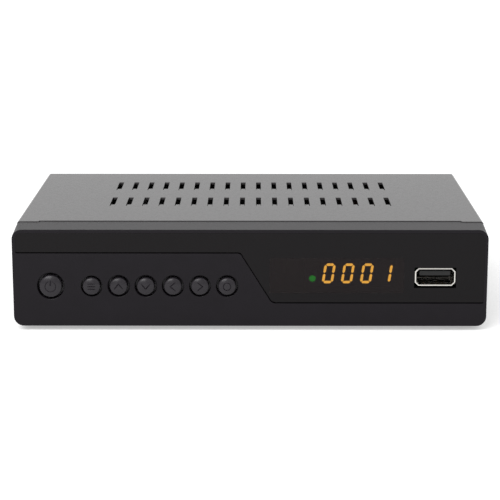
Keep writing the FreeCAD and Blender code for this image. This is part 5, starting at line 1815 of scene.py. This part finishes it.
# ---- Nodes of the frame that keep their shape ------------------------------------------------------------
@dataclass
class FrameNodes:
    """Finishes of the nodes whose solids show as they are.

    Args:
        names: The nodes' names, by their finish.
    """

    names: dict[AnyFinish, str] = field(default_factory=lambda: {
        PALETTE.epoxy_body: "switch_bodies processor memory_chips inductors",
        PALETTE.black_nylon: "button_guide display_holder board_header",
        PALETTE.solder_resist: "front_board main_board",
        PALETTE.zinc: "front_board_screws board_standoffs main_board_screws",
        PALETTE.display_body: "display_module",
        PALETTE.unlit_segment: "unlit_segments",
        PALETTE.green_led: "power_led",
        PALETTE.clear_led: "standby_led",
        PALETTE.dark_epoxy: "ir_receiver",
        PALETTE.gold: "usb_contacts",
        PALETTE.aluminium: "heatsink",
        PALETTE.capacitor_can: "capacitors",
        PALETTE.tin: "crystal tuner_can tuner_lid",
        PALETTE.white_ptfe: "f_insulators",
        PALETTE.orange_nylon: "coax_insulator",
    })

    def dress(self) -> None:
        """Give every kept node its material; the switches' plungers are of the switches' epoxy."""
        nodes = frame["nodes"]
        plungers = [name for name in nodes if name.endswith("_plunger")]
        for finish, names in self.names.items():
            for name in names.split() + (plungers if finish is PALETTE.epoxy_body else []):
                for slot in nodes[name].material_slots:
                    slot.material = PALETTE.get(finish)
                LOG.info("%s: %s", name, finish.name)


# ---- Studio ----------------------------------------------------------------------------------------------
@dataclass(frozen=True)
class SoftLamp:
    """Square soft lamp that looks at the object.

    Args:
        name: Name of the lamp.
        place: Where it hangs, in metres.
        size: Length of its sides.
        power: Its power in watts.
        aim: What it looks at.
    """

    name: str
    place: Place
    size: float
    power: float
    aim: Place = (0.0, 0.0, 0.02)

    def build(self) -> None:
        """Hang the lamp."""
        data = bpy.data.lights.new(self.name, "AREA")
        data.size = self.size
        data.energy = self.power
        obj = bpy.data.objects.new(self.name, data)
        bpy.context.scene.collection.objects.link(obj)
        obj.location = self.place
        obj.rotation_euler = (Vector(self.aim) - Vector(self.place)).to_track_quat("-Z", "Y").to_euler()


@dataclass
class Studio:
    """Plain pale room, soft lamps and the camera.

    Args:
        ambient: Strength of the surroundings as light on the object; to the camera they show as 1.
        floor_size: Side of the floor, in metres.
        floor_glow: Glow of the floor in what the camera sees, also in reflections.
        near_glow: Further glow to the camera alone, near the object, so that the shadow stays soft.
        far_glow: The same far away, where the lamps hardly reach.
        fade_from: Distance from the object where that further glow starts to rise.
        fade_to: Distance where it has risen.
        lamps: The lamps.
        camera_place: Where the camera stands, in metres.
        camera_turn: Its turn in degrees.
        focal: Its focal length in millimetres.
        sensor: Width of its sensor in millimetres.
        clip_start: The nearest that it sees, in metres.
    """

    ambient: float = 0.6
    floor_size: float = 12.0
    floor_glow: float = 0.32
    near_glow: float = 0.1
    far_glow: float = 0.38
    fade_from: float = 0.3
    fade_to: float = 1.3
    lamps: tuple[SoftLamp, ...] = (
        SoftLamp("key", (-0.45, -0.85, 0.82), 0.8, 11.5),
        SoftLamp("fill", (0.8, -0.3, 0.9), 0.9, 2.0),
    )
    camera_place: Place = (0.002211, -0.6318, 0.16094)
    camera_turn: Place = (77.078, 0.0, 0.22)
    focal: float = 120.05
    sensor: float = 36.0
    clip_start: float = 0.01

    def seen(self, owner: Owner) -> bpy.types.NodeSocket:
        """Level that is 1 for what the camera sees, straight, mirrored or through a window, and 0 for light.

        Args:
            owner: The material or world that uses it.

        Returns:
            The socket that carries the level.
        """
        path = add_node(owner, "ShaderNodeLightPath")
        direct = add_node(owner, "ShaderNodeMath", {"operation": "MAXIMUM"},
                          {0: path.outputs["Is Camera Ray"], 1: path.outputs["Is Glossy Ray"]})
        through = add_node(owner, "ShaderNodeMath", {"operation": "MAXIMUM"},
                           {0: direct.outputs[0], 1: path.outputs["Is Transmission Ray"]})
        return through.outputs[0]

    def paper(self) -> bpy.types.Material:
        """Matt white paper of the floor: it keeps the shadow and shows white round it.

        Returns:
            The material.
        """
        material = blank("paper_matte_white")
        diffuse = add_node(material, "ShaderNodeBsdfDiffuse", {"Color": linear("#F2F2F2")})
        place = add_node(material, "ShaderNodeTexCoord")
        away = add_node(material, "ShaderNodeVectorMath", {"operation": "LENGTH"},
                        {0: place.outputs["Object"]})
        fade = add_node(material, "ShaderNodeMapRange",
                        {"From Min": self.fade_from, "From Max": self.fade_to, "To Min": self.near_glow,
                         "To Max": self.far_glow}, {"Value": away.outputs["Value"]})
        path = add_node(material, "ShaderNodeLightPath")
        direct = add_node(material, "ShaderNodeMath", {"operation": "MULTIPLY"},
                          {0: fade.outputs["Result"], 1: path.outputs["Is Camera Ray"]})
        level = add_node(material, "ShaderNodeMath", {"operation": "MULTIPLY_ADD", 1: self.floor_glow},
                         {0: self.seen(material), 2: direct.outputs[0]})
        glow = add_node(material, "ShaderNodeEmission", {"Color": (1, 1, 1, 1)},
                        {"Strength": level.outputs[0]})
        total = add_node(material, "ShaderNodeAddShader", None, {0: diffuse.outputs[0], 1: glow.outputs[0]})
        add_node(material, "ShaderNodeOutputMaterial", None, {"Surface": total.outputs[0]})
        return material

    def floor(self) -> None:
        """White floor under the object."""
        take()
        bpy.ops.mesh.primitive_plane_add(size=self.floor_size)
        obj = bpy.context.object
        obj.name = "floor"
        obj.data.materials.append(self.paper())

    def world(self) -> None:
        """White surroundings for the camera and the reflections, dimmer for the light on the object."""
        world = bpy.data.worlds.new("studio")
        bpy.context.scene.world = world
        world.use_nodes = True
        world.node_tree.nodes.clear()
        level = add_node(world, "ShaderNodeMapRange", {"To Min": self.ambient, "To Max": 1.0},
                         {"Value": self.seen(world)})
        background = add_node(world, "ShaderNodeBackground", None, {"Strength": level.outputs["Result"]})
        add_node(world, "ShaderNodeOutputWorld", None, {"Surface": background.outputs[0]})

    def camera(self) -> None:
        """Camera level with the room and pitched down a little."""
        data = bpy.data.cameras.new("camera")
        data.sensor_width = self.sensor
        data.lens = self.focal
        data.clip_start = self.clip_start
        obj = bpy.data.objects.new("camera", data)
        bpy.context.scene.collection.objects.link(obj)
        obj.location = self.camera_place
        obj.rotation_euler = [math.radians(angle) for angle in self.camera_turn]
        bpy.context.scene.camera = obj

    def build(self) -> None:
        """Everything round the object."""
        self.floor()
        self.world()
        for lamp in self.lamps:
            lamp.build()
        self.camera()
        bpy.context.scene.view_settings.view_transform = "Standard"


def buttons() -> list[PushButton]:
    """The power button and the six small buttons.

    Returns:
        The buttons from the left, not built yet.
    """
    small = (Mark.MENU, Mark.UP, Mark.DOWN, Mark.LEFT, Mark.RIGHT, Mark.OK)
    return [PushButton(Mark.POWER, CASE.power_x, radius=4.0, flange=5.0)] + \
        [PushButton(mark, x, radius=3.14, flange=4.15) for mark, x in zip(small, CASE.small_xs())]


def rounded_nodes() -> list[RoundedNode]:
    """The nodes that only need their edges rounded.

    Returns:
        The nodes, not built yet.
    """
    nylon, plated = PALETTE.black_nylon, PALETTE.nickel_brass
    return [
        RoundedNode("chassis", 0.12, "painted_steel", PALETTE.powder_coat),
        RoundedNode("scart_housing", 0.25, "socket_insulator", nylon),
        RoundedNode("scart_contacts", 0.1, "gold_contact", PALETTE.gold),
        RoundedNode("hdmi_shell", 0.1, "nickel_steel", PALETTE.nickel_steel),
        RoundedNode("hdmi_insert", 0.1, "socket_insulator", nylon),
        RoundedNode("dc_inlet", 0.2, "socket_insulator", nylon),
        RoundedNode("dc_centre_pin", 0.3, "nickel_brass", plated),
        RoundedNode("usb_tongue", 0.3, "socket_insulator", nylon),
    ]


def main() -> None:
    """Build the receiver and its studio, and report each piece."""
    logging.basicConfig(level=logging.INFO, format="%(name)s: %(message)s")
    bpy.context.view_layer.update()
    FrameNodes().dress()
    panel = FrontPanel()
    panel.build_fascia()
    panel.build_plate()
    for button in buttons():
        button.build()
    cover = TopCover()
    cover.build()
    CoverScrews().build(cover)
    for part in (Feet(), DisplayDigits(), UsbSocket(), AerialSockets(), CoaxialSocket(), JackSocket()):
        part.build()
    for node in rounded_nodes():
        node.build()
    Studio().build()


if __name__ == "__main__":
    main()
